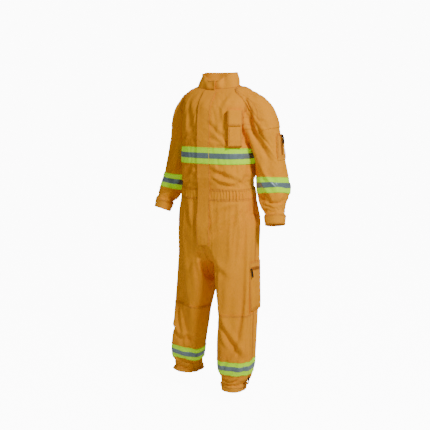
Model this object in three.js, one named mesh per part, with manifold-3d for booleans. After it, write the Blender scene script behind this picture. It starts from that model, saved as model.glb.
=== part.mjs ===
// A one-piece wildland-fire coverall, empty, in the shape it takes when it is worn.
// Millimetres, +Z up. The front faces -Y and the wearer's left side is +X.
// Heights are measured from the wearer's ground; the origin is where the shoulders carry the garment.
import * as THREE from 'three';
import { mergeVertices } from 'three/addons/utils/BufferGeometryUtils.js';
import Module from 'manifold-3d';

const SHOULDER_HEIGHT = 1470;
const CLOTH = 2.4;
const GAP = 0.35;
const FULLNESS = 2.5;
const FAR = 1500;

const WAIST_TOP = 1045;
const WAIST_BOTTOM = 990;
const FLAP_TOP = 1484;
const FLAP_BOTTOM = 784;
const FLAP_HALF_WIDTH = 33;
const FLAP_FOLD_X = 19;
const CHEST_TAPE = [1162.5, 1237.5];
const SLEEVE_TAPE = { left: [1046, 1121], right: [1033, 1108] };
const LEG_TAPE = [180, 250];
const LEG_HEM = { left: 70, right: 78 };
const CUFF_END = { left: 880, right: 912 };
const CUFF_LENGTH = 46;
const SLEEVE_SEAM = { left: 22, right: 14 };
const KNEE_TOP = 470;
const THIGH_POCKET = [474, 706];

const wasm = await Module();
wasm.setup();

// ---- solids and cuts ----

function solidFrom(geometry) {
  geometry.deleteAttribute('normal');
  geometry.deleteAttribute('uv');
  const merged = mergeVertices(geometry, 1e-4);
  return new wasm.Manifold(new wasm.Mesh({
    numProp: 3,
    vertProperties: new Float32Array(merged.attributes.position.array),
    triVerts: new Uint32Array(merged.index.array),
  }));
}

// A box between two corners; the last pair is a pair of heights above the ground.
function block([x0, x1], [y0, y1], [low, high]) {
  const geometry = new THREE.BoxGeometry(x1 - x0, y1 - y0, high - low);
  geometry.translate((x0 + x1) / 2, (y0 + y1) / 2, (low + high) / 2 - SHOULDER_HEIGHT);
  return solidFrom(geometry);
}

const slab = (low, high) => block([-FAR, FAR], [-FAR, FAR], [low, high]);
const leftHalf = (from = GAP / 2) => block([from, FAR], [-FAR, FAR], [-FAR, 2 * FAR]);
const rightHalf = (from = GAP / 2) => block([-FAR, -from], [-FAR, FAR], [-FAR, 2 * FAR]);
const frontHalf = (y = 0) => block([-FAR, FAR], [-FAR, y - GAP / 2], [-FAR, 2 * FAR]);
const backHalf = (y = 0) => block([-FAR, FAR], [y + GAP / 2, FAR], [-FAR, 2 * FAR]);

// Superellipse point for an angle, on a unit circle direction (c, s).
function rounded(c, s) {
  const power = 2 / FULLNESS;
  return [Math.sign(c) * Math.abs(c) ** power, Math.sign(s) * Math.abs(s) ** power];
}

// A closed tube of cloth-shaped rings. Each ring is [x, y, height, half width, half depth, lean, lift]:
// lean turns the ring outwards about the front-to-back axis, in degrees, and lift moves the ring
// along its height as the form grows. side -1 makes the mirrored form for the wearer's right.
function tube(rings, segments, grow, side = 1) {
  const steps = rings.length - 1;
  const geometry = new THREE.CylinderGeometry(1, 1, steps, segments, steps);
  const place = geometry.attributes.position;
  for (let i = 0; i < place.count; i += 1) {
    const index = Math.round(place.getY(i) + steps / 2);
    const [x, y, height, width, depth, lean = 0, lift = 0] = rings[index];
    const onAxis = Math.hypot(place.getX(i), place.getZ(i)) < 0.5;
    const [c, s] = onAxis ? [0, 0] : rounded(place.getZ(i), place.getX(i));
    const out = c * (width + grow);
    const angle = THREE.MathUtils.degToRad(lean);
    place.setXYZ(
      i,
      side * (x + out * Math.cos(angle)),
      y + s * (depth + grow),
      height - SHOULDER_HEIGHT + out * Math.sin(angle) + lift * grow,
    );
  }
  if (side < 0) {
    const order = geometry.index.array;
    for (let i = 0; i < order.length; i += 3) {
      [order[i + 1], order[i + 2]] = [order[i + 2], order[i + 1]];
    }
  }
  return solidFrom(geometry);
}

// ---- the worn shape, from the bottom ring of each form to its top ring ----

const TORSO_RINGS = [
  [0, 0, 706, 34, 44, 0, -1],
  [0, 0, 730, 120, 112, 0, -0.5],
  [0, 0, 770, 196, 136],
  [0, 0, 830, 208, 142],
  [0, 0, 900, 204, 138],
  [0, -3, 990, 188, 127],
  [0, -4, 1045, 182, 124],
  [0, -5, 1100, 179, 125],
  [0, -5, 1240, 174, 125],
  [0, -5, 1300, 172, 125],
  [0, -5, 1380, 174, 125],
  [0, -10, 1440, 174, 120, 0, 0.2],
  [0, 10, 1466, 164, 102, 0, 0.6],
  [0, 18, 1487, 140, 86, 0, 0.9],
  [0, 22, 1503, 118, 74, 0, 1],
  [0, 24, 1516, 78, 60, 0, 1],
];

const NECK_RINGS = [
  [0, 24, 1462, 86, 72],
  [0, 24, 1500, 88, 75],
  [0, 22, 1577, 86, 76],
  [0, 22, 1600, 86, 77],
];

const ARM_RINGS = {
  left: [
    [316, -6, 855, 42, 44, -6],
    [310, 0, 880, 44, 46, -6],
    [300, 12, 935, 50, 52, -6],
    [286, 34, 1020, 60, 66, -6],
    [276, 48, 1100, 68, 76, -6],
    [270, 50, 1150, 69, 75, -3],
    [257, 36, 1240, 68, 73, 0],
    [253, 26, 1283, 70, 74, 8],
    [248, 16, 1324, 78, 74, 32],
    [226, 10, 1362, 92, 74, 62],
    [184, 8, 1380, 100, 72, 90],
    [150, 8, 1382, 98, 68, 90],
  ],
  right: [
    [315, -42, 888, 40, 42, -6],
    [310, -35, 912, 42, 44, -6],
    [302, -20, 960, 48, 50, -6],
    [290, 14, 1030, 56, 60, -6],
    [278, 42, 1095, 60, 66, -6],
    [272, 48, 1150, 61, 68, -3],
    [256, 38, 1235, 63, 69, 0],
    [247, 30, 1278, 66, 70, 8],
    [242, 20, 1320, 74, 72, 32],
    [218, 10, 1356, 82, 73, 62],
    [184, 4, 1372, 88, 72, 90],
    [150, 4, 1374, 86, 68, 90],
  ],
};

const LEG_RINGS = {
  left: [
    [120, -51, 50, 50, 60],
    [120, -50, 70, 52, 62],
    [121, -47, 160, 72, 78],
    [121, -44, 215, 82, 86],
    [122, -40, 300, 82, 88],
    [124, -34, 400, 86, 94],
    [125, -30, 470, 88, 98],
    [112, -15, 600, 97, 112],
    [105, -6, 700, 99, 122],
    [101, -2, 760, 100, 130],
    [97, 0, 830, 98, 132],
    [92, 0, 900, 90, 122],
  ],
  right: [
    [232, 69, 55, 72, 76],
    [230, 68, 78, 74, 78],
    [221, 62, 160, 77, 80],
    [213, 56, 215, 80, 84],
    [199, 48, 300, 80, 86],
    [178, 37, 400, 83, 92],
    [164, 29, 470, 85, 96],
    [126, 12, 600, 94, 110],
    [107, 4, 700, 99, 121],
    [101, 1, 760, 100, 130],
    [97, 0, 830, 98, 132],
    [92, 0, 900, 90, 122],
  ],
};

const SIDES = { left: 1, right: -1 };
const torso = (grow) => tube(TORSO_RINGS, 28, grow);
const neck = (grow) => tube(NECK_RINGS, 16, grow);
const arm = (name, grow) => tube(ARM_RINGS[name], 16, grow, SIDES[name]);
const leg = (name, grow) => tube(LEG_RINGS[name], 18, grow, SIDES[name]);
const lower = (grow) => torso(grow).add(leg('left', grow)).add(leg('right', grow));
const coat = (form, from, to) => form(to).subtract(form(from));

// ---- materials ----

const finish = (color, roughness, metalness = 0) => ({ color, roughness, metalness });
const SHELL_CLOTH = finish(0xd68d24, 0.88);
const LIME = finish(0xb6e600, 0.6);
const SILVER = finish(0x8c9aa0, 0.35, 0.3);
const HOOK_LOOP = finish(0xc98a2c, 0.95);
const ZIP_TAPE = finish(0xb9761d, 0.9);
const BRASS = finish(0xb08d4a, 0.35, 0.9);
const BLACK = finish(0x161616, 0.7);

const group = new THREE.Group();

function add(name, solid, look) {
  const { vertProperties, triVerts, numProp } = solid.getMesh();
  if (numProp !== 3) {
    throw new Error(`${name} holds more than positions`);
  }
  const geometry = new THREE.BufferGeometry();
  geometry.setAttribute('position', new THREE.BufferAttribute(new Float32Array(vertProperties), 3));
  geometry.setIndex(new THREE.BufferAttribute(new Uint32Array(triVerts), 1));
  geometry.computeVertexNormals();
  const mesh = new THREE.Mesh(geometry, new THREE.MeshStandardMaterial(look));
  mesh.name = name;
  group.add(mesh);
}

// ---- bodice: a back, two fronts and a collar ----

const armHollows = arm('left', -CLOTH).add(arm('right', -CLOTH));
const bodice = coat(torso, -CLOTH, 0)
  .intersect(slab(WAIST_TOP + GAP, 1600))
  .subtract(armHollows)
  .subtract(neck(GAP));
const FRONT_EDGE = 4;
add('bodice_back', bodice.intersect(backHalf()), SHELL_CLOTH);
add('bodice_front_left', bodice.intersect(frontHalf()).intersect(leftHalf(FRONT_EDGE)), SHELL_CLOTH);
add('bodice_front_right', bodice.intersect(frontHalf()).intersect(rightHalf(FRONT_EDGE)), SHELL_CLOTH);

const collarSlope = new THREE.BoxGeometry(400, 400, 100);
collarSlope.rotateX(THREE.MathUtils.degToRad(9));
collarSlope.translate(0, 0, 1566 + 50 - SHOULDER_HEIGHT);
const collarTop = solidFrom(collarSlope);
const collarOpening = block([-FRONT_EDGE, FRONT_EDGE], [-FAR, 0], [1400, 1700]);
const collar = coat(neck, -CLOTH, 0).subtract(torso(GAP)).subtract(collarTop).subtract(collarOpening);
add('collar_stand', collar, SHELL_CLOTH);
const tabZone = block([-46, 18], [-FAR, 0], [1512, 1550]);
add('collar_tab', coat(neck, GAP, 2.6).intersect(tabZone).subtract(torso(GAP)), SHELL_CLOTH);

// ---- waist casing and trouser panels ----

const waist = coat(torso, -CLOTH, 0).intersect(slab(WAIST_BOTTOM, WAIST_TOP));
const frontGap = block([-FRONT_EDGE, FRONT_EDGE], [-FAR, 0], [-FAR, 2 * FAR]);
add('waist_casing', waist.subtract(frontGap), SHELL_CLOTH);

// The side seams lean with each leg, so the cut between front and back is a leaning block.
function seamSide(name, toFront) {
  const side = SIDES[name];
  const top = new THREE.Vector3(0, 0, 900 - SHOULDER_HEIGHT);
  const hem = name === 'left' ? -50 : 68;
  const slope = Math.atan2(hem, 830);
  const block3 = new THREE.BoxGeometry(FAR, FAR, 2 * FAR);
  block3.translate((side * FAR) / 2 + side * (GAP / 2), toFront * (FAR / 2 + GAP / 2), 0);
  block3.rotateX(slope);
  block3.translate(top.x, top.y, top.z);
  return solidFrom(block3);
}

const trousers = coat(lower, -CLOTH, 0)
  .intersect(slab(-FAR, WAIST_BOTTOM - GAP))
  .subtract(block([-FRONT_EDGE, FRONT_EDGE], [-FAR, 0], [FLAP_BOTTOM + 6, 2 * FAR]));
for (const [name, side] of Object.entries(SIDES)) {
  const above = slab(LEG_HEM[name], 2 * FAR);
  add(`trouser_front_${name}`, trousers.intersect(seamSide(name, -1)).intersect(above), SHELL_CLOTH);
  add(`trouser_back_${name}`, trousers.intersect(seamSide(name, 1)).intersect(above), SHELL_CLOTH);
  const sleeve = coat((grow) => arm(name, grow), -CLOTH, 0).subtract(torso(GAP));
  const cuffTop = CUFF_END[name] + CUFF_LENGTH;
  const aboveCuff = sleeve.intersect(slab(cuffTop + GAP, 2 * FAR));
  add(`sleeve_front_${name}`, aboveCuff.intersect(frontHalf(SLEEVE_SEAM[name])), SHELL_CLOTH);
  add(`sleeve_back_${name}`, aboveCuff.intersect(backHalf(SLEEVE_SEAM[name])), SHELL_CLOTH);
  add(`cuff_band_${name}`, sleeve.intersect(slab(CUFF_END[name], cuffTop)), SHELL_CLOTH);

  const forearm = (grow) => arm(name, grow);
  const shoulder = (grow) => torso(grow).add(arm(name, grow));
  const patchX = side > 0 ? [118, FAR] : [-FAR, -118];
  const patch = coat(shoulder, GAP, 1.8).intersect(block(patchX, [-58, 62], [1392, 1600]));
  add(`shoulder_patch_${name}`, patch, SHELL_CLOTH);

  const shin = (grow) => leg(name, grow);
  const kneeY = name === 'left' ? -40 : 20;
  const knee = coat(shin, GAP, 1.6)
    .intersect(block([-FAR, FAR], [-FAR, kneeY], [LEG_TAPE[1] + GAP, KNEE_TOP]));
  add(`knee_patch_${name}`, knee, SHELL_CLOTH);

  const stripe = (low, high) => slab(low + (high - low) / 3, high - (high - low) / 3);
  add(`leg_tape_lime_${name}`, coat(shin, GAP, 1.3).intersect(slab(...LEG_TAPE)), LIME);
  add(`leg_tape_silver_${name}`, coat(shin, 1.65, 2.3).intersect(stripe(...LEG_TAPE)), SILVER);
  add(`sleeve_tape_lime_${name}`, coat(forearm, GAP, 1.3).intersect(slab(...SLEEVE_TAPE[name])), LIME);
  add(`sleeve_tape_silver_${name}`, coat(forearm, 1.65, 2.3).intersect(stripe(...SLEEVE_TAPE[name])), SILVER);
}

// ---- front closure ----

const front = (x, low, high) => block(x, [-FAR, 0], [low, high]);
add('zip_tape_left', coat(lower, -4.2, -2.75).intersect(front([3.4, 17], 800, FLAP_TOP)), ZIP_TAPE);
add('zip_tape_right', coat(lower, -4.2, -2.75).intersect(front([-17, -3.4], 800, FLAP_TOP)), ZIP_TAPE);
add('zip_chain', coat(lower, -4.0, -0.2).intersect(front([-3, 3], 800, FLAP_TOP)), BRASS);
add('storm_flap', coat(lower, 3.8, 5.4)
  .intersect(front([-FLAP_HALF_WIDTH, FLAP_FOLD_X], FLAP_BOTTOM, FLAP_TOP)), SHELL_CLOTH);
add('storm_flap_sewn_edge', coat(lower, GAP, 5.4)
  .intersect(front([FLAP_FOLD_X + GAP, FLAP_HALF_WIDTH], FLAP_BOTTOM, FLAP_TOP)), SHELL_CLOTH);
add('flap_loop_strip', coat(lower, GAP, 1.7).intersect(front([-30, -12], 800, 1470)), HOOK_LOOP);
add('flap_hook_strip', coat(lower, 2.05, 3.45).intersect(front([-30, -12], 800, 1470)), HOOK_LOOP);

const SLIDER_HEIGHT = 1428;
const FRONT_LINE = -130;

// A zip slider with its hanging puller, made facing -Y at the origin, pointing down.
function slider(width, height, thickness, pull) {
  const body = new THREE.BoxGeometry(width, thickness, height);
  const loop = new THREE.BoxGeometry(width * 0.5, thickness * 0.5, pull);
  loop.translate(0, -thickness * 0.2, -height / 2 - pull / 2 + 2);
  return solidFrom(body).add(solidFrom(loop));
}

// Turns a solid about the vertical through the origin, then moves it.
function placed(solid, turn, [x, y, height]) {
  const { vertProperties, triVerts } = solid.getMesh();
  const geometry = new THREE.BufferGeometry();
  geometry.setAttribute('position', new THREE.BufferAttribute(new Float32Array(vertProperties), 3));
  geometry.setIndex(new THREE.BufferAttribute(new Uint32Array(triVerts), 1));
  geometry.rotateZ(THREE.MathUtils.degToRad(turn));
  geometry.translate(x, y, height - SHOULDER_HEIGHT);
  return solidFrom(geometry);
}

add('front_slider', placed(slider(9, 13, 2.6, 22), 0, [0, FRONT_LINE - 1.8, SLIDER_HEIGHT]), BRASS);

// ---- retro-reflective tape on the body: lime with a silver stripe down its middle ----

const beyondFlap = FLAP_HALF_WIDTH + GAP;
const tapeLook = {
  lime: { at: [GAP, 1.3], raised: [5.75, 6.7], zone: CHEST_TAPE, step: beyondFlap, look: LIME },
  silver: { at: [1.65, 2.3], raised: [7.05, 7.7], zone: [1187.5, 1212.5], step: beyondFlap + 1.6, look: SILVER },
};
for (const [color, { at, raised, zone, step, look }] of Object.entries(tapeLook)) {
  const level = slab(...zone);
  const ring = coat(torso, ...at).intersect(level);
  const overEdge = coat(torso, ...raised).intersect(front([FLAP_FOLD_X + GAP, step + 1], 1000, 1400));
  const wall = coat(torso, at[0], raised[1]).intersect(front([step, step + 1], 1000, 1400));
  const onLeft = ring.intersect(frontHalf()).intersect(leftHalf(step)).add(overEdge.add(wall).intersect(level));
  add(`chest_tape_${color}_front_left`, onLeft, look);
  add(`chest_tape_${color}_front_right`, ring.intersect(frontHalf()).intersect(rightHalf(beyondFlap)), look);
  add(`chest_tape_${color}_back`, ring.intersect(backHalf()), look);
  const onFlap = coat(torso, ...raised).intersect(front([-FLAP_HALF_WIDTH, FLAP_FOLD_X], 1000, 1400));
  add(`chest_tape_${color}_flap`, onFlap.intersect(level), look);
}

// ---- chest pocket for a radio, turned with the side of the chest ----

const CHEST_POCKET = { turn: 44, centre: [143, -92], halfWidth: 33, low: 1246, high: 1408, deep: 24 };
function chestBox(halfWidth, inner, outer, low, high) {
  const geometry = new THREE.BoxGeometry(2 * halfWidth, outer - inner, high - low);
  geometry.translate(0, -(outer + inner) / 2, 0);
  const [x, y] = CHEST_POCKET.centre;
  return placed(solidFrom(geometry), CHEST_POCKET.turn, [x, y, (low + high) / 2]);
}
const chestClear = torso(GAP).add(arm('left', GAP));
const { halfWidth, low, high, deep } = CHEST_POCKET;
const pouch = chestBox(halfWidth, -16, deep, low, high).subtract(chestClear);
add('chest_pocket_body', pouch, SHELL_CLOTH);
const lid = chestBox(halfWidth + 3, deep + GAP, deep + 2.6, high - 66, high + 2.6)
  .add(chestBox(halfWidth + 3, 1, deep + 2.6, high + GAP, high + 2.6));
add('chest_pocket_flap', lid.subtract(chestClear), SHELL_CLOTH);

// ---- zipped pockets on the left thigh and the left upper sleeve ----

const thighFace = 218;
const thighPocket = block([150, thighFace], [-42, 50], THIGH_POCKET)
  .subtract(leg('left', GAP).add(torso(GAP)));
add('thigh_pocket_body', thighPocket, SHELL_CLOTH);
const thighZipHeight = 667;
add('thigh_pocket_zip', block([thighFace + GAP, thighFace + 1.8], [-36, 44],
  [thighZipHeight - 6, thighZipHeight + 6]), ZIP_TAPE);
const thighSlider = placed(slider(7, 9, 2.2, 22), 90, [thighFace + 3.3, -30, thighZipHeight]);
add('thigh_pocket_slider', thighSlider, BLACK);

const sleeveFace = 334;
const sleevePocket = block([280, sleeveFace], [-2, 74], [1205, 1322]).subtract(arm('left', GAP));
add('sleeve_pocket_body', sleevePocket, SHELL_CLOTH);
add('sleeve_pocket_zip', block([sleeveFace + GAP, sleeveFace + 1.8], [26, 38], [1212, 1315]), ZIP_TAPE);
const sleeveSlider = placed(slider(7, 9, 2.2, 20), 90, [sleeveFace + 3.3, 32, 1302]);
add('sleeve_pocket_slider', sleeveSlider, BLACK);

// ---- ankle zips on the outer sides, under the leg tapes ----

const ANKLE = { left: { y: -49, x: 194.6 }, right: { y: 64, x: 300.6 } };
for (const [name, side] of Object.entries(SIDES)) {
  const { x, y } = ANKLE[name];
  const reach = side > 0 ? [140, FAR] : [-FAR, -240];
  const strip = coat((grow) => leg(name, grow), GAP, 1.5)
    .intersect(block(reach, [y - 6, y + 6], [LEG_HEM[name] + 3, LEG_TAPE[0] - GAP]));
  add(`ankle_zip_${name}`, strip, ZIP_TAPE);
  const pull = placed(slider(7, 9, 2.2, 16), side * 90, [side * (x + 3.2), y, 160]);
  add(`ankle_slider_${name}`, pull, BLACK);
}

export default group;
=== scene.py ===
# %% [markdown]
# # A wildland fire coverall, worn but empty
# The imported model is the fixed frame. This script puts cloth around it: a smooth body-shaped
# garment is simulated over a hidden mannequin, cut into panels, and dressed with tape, pockets,
# zips and stitches. Distances are metres. The front faces -Y and the wearer's left is +X.

# %% Load the frame
import math

import bmesh
import bpy
import numpy as np
from mathutils import Matrix, Vector
from mathutils.bvhtree import BVHTree


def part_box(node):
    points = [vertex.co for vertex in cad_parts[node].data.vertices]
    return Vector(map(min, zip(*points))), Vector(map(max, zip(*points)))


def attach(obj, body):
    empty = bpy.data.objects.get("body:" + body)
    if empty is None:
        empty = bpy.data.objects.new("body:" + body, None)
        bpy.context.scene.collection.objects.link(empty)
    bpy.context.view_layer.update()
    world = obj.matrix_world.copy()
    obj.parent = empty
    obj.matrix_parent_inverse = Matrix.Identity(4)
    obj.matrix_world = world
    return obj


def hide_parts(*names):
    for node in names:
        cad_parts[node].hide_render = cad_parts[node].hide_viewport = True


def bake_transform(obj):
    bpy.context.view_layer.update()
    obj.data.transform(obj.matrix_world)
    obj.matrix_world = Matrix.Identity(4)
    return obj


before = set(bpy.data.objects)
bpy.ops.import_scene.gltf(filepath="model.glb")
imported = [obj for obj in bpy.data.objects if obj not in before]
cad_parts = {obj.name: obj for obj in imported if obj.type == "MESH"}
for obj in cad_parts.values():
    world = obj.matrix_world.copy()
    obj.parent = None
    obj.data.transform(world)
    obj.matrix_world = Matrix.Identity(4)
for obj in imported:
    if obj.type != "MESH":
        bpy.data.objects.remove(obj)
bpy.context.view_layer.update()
scene = bpy.context.scene
GARMENT = "garment"
SHOULDER = 1.470
print("CAD nodes:", len(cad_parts))

# %% [markdown]
# ## The camera
# It stands about four metres away, towards the wearer's left, a little above the chest.

# %% Camera
CAMERA_TURN = math.radians(33)
CAMERA_RANGE = 4.0
CAMERA_HEIGHT = 1.5 - SHOULDER
CAMERA_DROP = math.radians(8.5)
camera_data = bpy.data.cameras.new("camera")
camera_data.sensor_width = 36
camera_data.lens = 70.2
camera_data.shift_x = -.009
camera = bpy.data.objects.new("camera", camera_data)
scene.collection.objects.link(camera)
camera.location = (CAMERA_RANGE * math.sin(CAMERA_TURN), -CAMERA_RANGE * math.cos(CAMERA_TURN), CAMERA_HEIGHT)
camera.rotation_euler = (math.pi / 2 - CAMERA_DROP, 0, CAMERA_TURN)
scene.camera = camera

# %% [markdown]
# ## Worn shape
# Each limb is a tube of rings: x, y, height above the ground, half width, half depth, lean in
# degrees, and lift. A ring is a superellipse, so the chest is flatter than an ellipse.

# %% Ring tables
TORSO = [
    (0, 0, .706, .034, .044), (0, 0, .730, .120, .112), (0, 0, .770, .196, .136), (0, 0, .830, .208, .142),
    (0, 0, .900, .204, .138), (0, -.003, .990, .188, .127), (0, -.004, 1.045, .182, .124),
    (0, -.005, 1.100, .183, .127), (0, -.005, 1.180, .182, .129), (0, -.005, 1.240, .178, .129),
    (0, -.005, 1.300, .175, .128), (0, -.005, 1.380, .180, .126), (0, -.004, 1.435, .188, .116),
    (0, .010, 1.466, .187, .101), (0, .017, 1.490, .172, .089), (0, .021, 1.505, .144, .079),
    (0, .024, 1.516, .106, .069), (0, .026, 1.526, .080, .060), (0, .027, 1.534, .050, .040),
]
ARMS = {
    "left": [
        (.316, -.006, .850, .042, .044, -6), (.310, 0, .880, .044, .046, -6), (.301, .012, .935, .052, .054, -6),
        (.290, .034, 1.020, .066, .070, -6), (.283, .046, 1.075, .078, .082, -6), (.278, .048, 1.120, .076, .081, -5),
        (.272, .048, 1.160, .072, .077, -3), (.259, .036, 1.240, .068, .073, 0), (.253, .026, 1.283, .070, .074, 8),
        (.250, .018, 1.326, .077, .075, 32), (.231, .013, 1.371, .097, .076, 62), (.186, .011, 1.399, .111, .074, 90),
        (.150, .011, 1.400, .108, .070, 90),
    ],
    "right": [
        (.317, -.050, .880, .039, .041, -6), (.310, -.035, .912, .042, .044, -6), (.302, -.020, .960, .048, .050, -6),
        (.292, .014, 1.030, .062, .066, -6), (.283, .038, 1.080, .068, .074, -6), (.274, .046, 1.150, .064, .071, -3),
        (.254, .040, 1.235, .061, .067, 0), (.240, .033, 1.278, .059, .067, 8), (.228, .025, 1.322, .061, .068, 32),
        (.213, .018, 1.364, .084, .068, 62), (.186, .013, 1.392, .106, .070, 90), (.150, .011, 1.396, .105, .070, 90),
    ],
}
LEGS = {
    "left": [
        (.120, -.052, .040, .052, .062), (.120, -.050, .070, .054, .064), (.121, -.048, .110, .064, .072),
        (.121, -.047, .160, .074, .080), (.121, -.044, .215, .082, .087), (.122, -.040, .300, .082, .088),
        (.124, -.034, .400, .086, .094), (.125, -.030, .470, .088, .098), (.112, -.015, .600, .097, .112),
        (.105, -.006, .700, .099, .122), (.101, -.002, .760, .100, .130), (.097, 0, .830, .098, .132),
        (.092, 0, .900, .090, .122),
    ],
    "right": [
        (.233, .070, .050, .074, .077), (.230, .068, .078, .075, .078), (.221, .062, .160, .077, .080),
        (.213, .056, .215, .080, .084), (.199, .048, .300, .080, .086), (.178, .037, .400, .083, .092),
        (.164, .029, .470, .085, .096), (.126, .012, .600, .094, .110), (.107, .004, .700, .099, .121),
        (.101, .001, .760, .100, .130), (.097, 0, .830, .098, .132), (.092, 0, .900, .090, .122),
    ],
}
SIDES = {"left": 1, "right": -1}
FULLNESS = 2.5


def dense_rings(rings, spacing):
    """The ring table as an array, with smooth extra rings in between."""
    table = np.array([tuple(r) + (0,) * (6 - len(r)) for r in rings], float)
    along = np.concatenate([[0], np.cumsum(np.linalg.norm(np.diff(table[:, :3], axis=0), axis=1) + 1e-4)])
    slope = np.gradient(table, along, axis=0)
    count = max(int(along[-1] / spacing), len(table))
    at = np.linspace(0, along[-1], count)
    i = np.clip(np.searchsorted(along, at, side="right") - 1, 0, len(along) - 2)
    gap = (along[i + 1] - along[i])[:, None]
    t = ((at - along[i]) / gap[:, 0])[:, None]
    return (
        (2 * t**3 - 3 * t**2 + 1) * table[i] + (t**3 - 2 * t**2 + t) * gap * slope[i]
        + (3 * t**2 - 2 * t**3) * table[i + 1] + (t**3 - t**2) * gap * slope[i + 1]
    )


def tube(rings, side=1, share=1.0, grow=0.0, segments=64, spacing=.012):
    """Vertices and faces of one closed limb; share scales its rings and grow adds to them."""
    table = dense_rings(rings, spacing)
    angle = np.linspace(0, 2 * math.pi, segments, endpoint=False)
    c = np.sign(np.cos(angle)) * np.abs(np.cos(angle)) ** (2 / FULLNESS)
    s = np.sign(np.sin(angle)) * np.abs(np.sin(angle)) ** (2 / FULLNESS)
    verts, faces = [], []
    for x, y, height, width, depth, lean in table:
        out = c * (width * share + grow)
        lean = math.radians(lean)
        verts.append(np.stack([
            side * (x + out * math.cos(lean)), y + s * (depth * share + grow),
            height - SHOULDER + out * math.sin(lean),
        ], 1))
    rows = len(table)
    for r in range(rows - 1):
        for k in range(segments):
            a, b = r * segments + k, r * segments + (k + 1) % segments
            face = (a, b, b + segments, a + segments)
            faces.append(face if side > 0 else face[::-1])
    low, high = tuple(range(segments))[::-1], tuple(range((rows - 1) * segments, rows * segments))
    faces += [low, high] if side > 0 else [low[::-1], high[::-1]]
    return np.concatenate(verts), faces


def mesh_of(parts, name):
    verts, faces, start = [], [], 0
    for v, f in parts:
        verts.append(v)
        faces += [tuple(i + start for i in face) for face in f]
        start += len(v)
    mesh = bpy.data.meshes.new(name)
    mesh.from_pydata(np.concatenate(verts).tolist(), [], faces)
    mesh.update()
    obj = bpy.data.objects.new(name, mesh)
    scene.collection.objects.link(obj)
    return obj


def evaluated(obj):
    """The object's mesh with its modifiers applied."""
    graph = bpy.context.evaluated_depsgraph_get()
    graph.update()
    return bpy.data.meshes.new_from_object(obj.evaluated_get(graph))


def drop(*objects):
    for obj in objects:
        bpy.data.objects.remove(obj, do_unlink=True)


def in_order(mesh):
    """The same mesh with its points and faces sorted by place, so that every run is alike."""
    points = np.array([v.co for v in mesh.vertices])
    order = np.lexsort(np.round(points, 5).T)
    rank = np.empty(len(order), int)
    rank[order] = np.arange(len(order))
    faces = []
    for f in mesh.polygons:
        ring = [int(rank[i]) for i in f.vertices]
        first = ring.index(min(ring))
        faces.append(tuple(ring[first:] + ring[:first]))
    sorted_mesh = bpy.data.meshes.new(mesh.name + "_sorted")
    sorted_mesh.from_pydata(points[order].tolist(), [], sorted(faces))
    sorted_mesh.update()
    return sorted_mesh


# %% [markdown]
# ## Rest garment
# The limbs are merged into one skin of even quads, then opened at the neck, cuffs and hems.

# %% Merge the limbs
CELL = .0080
limbs = [tube(TORSO)]
for name, side in SIDES.items():
    limbs += [tube(ARMS[name], side), tube(LEGS[name], side)]
whole = mesh_of(limbs, "whole")
remesh = whole.modifiers.new("remesh", "REMESH")
remesh.mode = "VOXEL"
remesh.voxel_size = CELL
rest_mesh = in_order(evaluated(whole))
drop(whole)
bm = bmesh.new()
bm.from_mesh(rest_mesh)
for _ in range(6):
    bmesh.ops.smooth_vert(bm, verts=bm.verts, factor=.5, use_axis_x=True, use_axis_y=True, use_axis_z=True)


def height_z(height):
    return height - SHOULDER


# Where the garment opens: a point on each plane and the direction that is cut away.
NECK_POINT, NECK_AWAY = Vector((0, .024, height_z(1.5185))), Vector((0, -.17, 1)).normalized()
CUFFS = {
    "left": (Vector((.310, 0, height_z(.880))), Vector((.2, -.24, -1)).normalized()),
    "right": (Vector((-.310, -.035, height_z(.912))), Vector((-.2, -.32, -1)).normalized()),
}
HEMS = {
    "left": (Vector((.120, -.050, height_z(.070))), Vector((0, 0, -1))),
    "right": (Vector((-.230, .068, height_z(.080))), Vector((0, 0, -1))),
}


def near(point, reach):
    return lambda co: (co - point).length < reach


def trim(bm, point, away, picked):
    """Cuts away what lies beyond a plane, among the faces that picked accepts."""
    faces = [f for f in bm.faces if picked(f.calc_center_median())]
    geometry = set(faces)
    for f in faces:
        geometry.update(f.edges)
        geometry.update(f.verts)
    bmesh.ops.bisect_plane(bm, geom=list(geometry), dist=1e-5, plane_co=point, plane_no=away, clear_outer=True)


trim(bm, NECK_POINT, NECK_AWAY, near(NECK_POINT, .14))
for name in SIDES:
    trim(bm, *CUFFS[name], near(CUFFS[name][0], .075))
    trim(bm, *HEMS[name], near(HEMS[name][0], .11))
bmesh.ops.remove_doubles(bm, verts=bm.verts, dist=.0012)
bm.to_mesh(rest_mesh)
bm.free()
garment = bpy.data.objects.new("rest_garment", rest_mesh)
scene.collection.objects.link(garment)
rest = np.array([v.co for v in rest_mesh.vertices])
print("rest garment:", len(rest), "vertices")

# %% [markdown]
# ## Mannequin and cloth simulation
# The cloth is a few percent larger than the worn shape, so it buckles into folds while the
# mannequin, the pinned neck and the lightly held tapes keep the figure.

# %% Simulate
slim = [tube(TORSO, share=.93, segments=40, spacing=.02)]
for name, side in SIDES.items():
    slim += [tube(ARMS[name], side, share=.70, segments=24, spacing=.02)]
    slim += [tube(LEGS[name], side, share=.76, segments=28, spacing=.02)]
mannequin = mesh_of(slim, "mannequin")
remesh = mannequin.modifiers.new("remesh", "REMESH")
remesh.mode = "VOXEL"
remesh.voxel_size = .014
slim_mesh = in_order(evaluated(mannequin))
drop(mannequin)
mannequin = bpy.data.objects.new("mannequin", slim_mesh)
scene.collection.objects.link(mannequin)
print("mannequin:", len(slim_mesh.vertices), "vertices")


def band(values, low, high, soft):
    """1 between low and high, fading to 0 over soft on both sides."""
    return np.clip((values - low) / soft + 1, 0, 1) * np.clip((high - values) / soft + 1, 0, 1)


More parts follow.
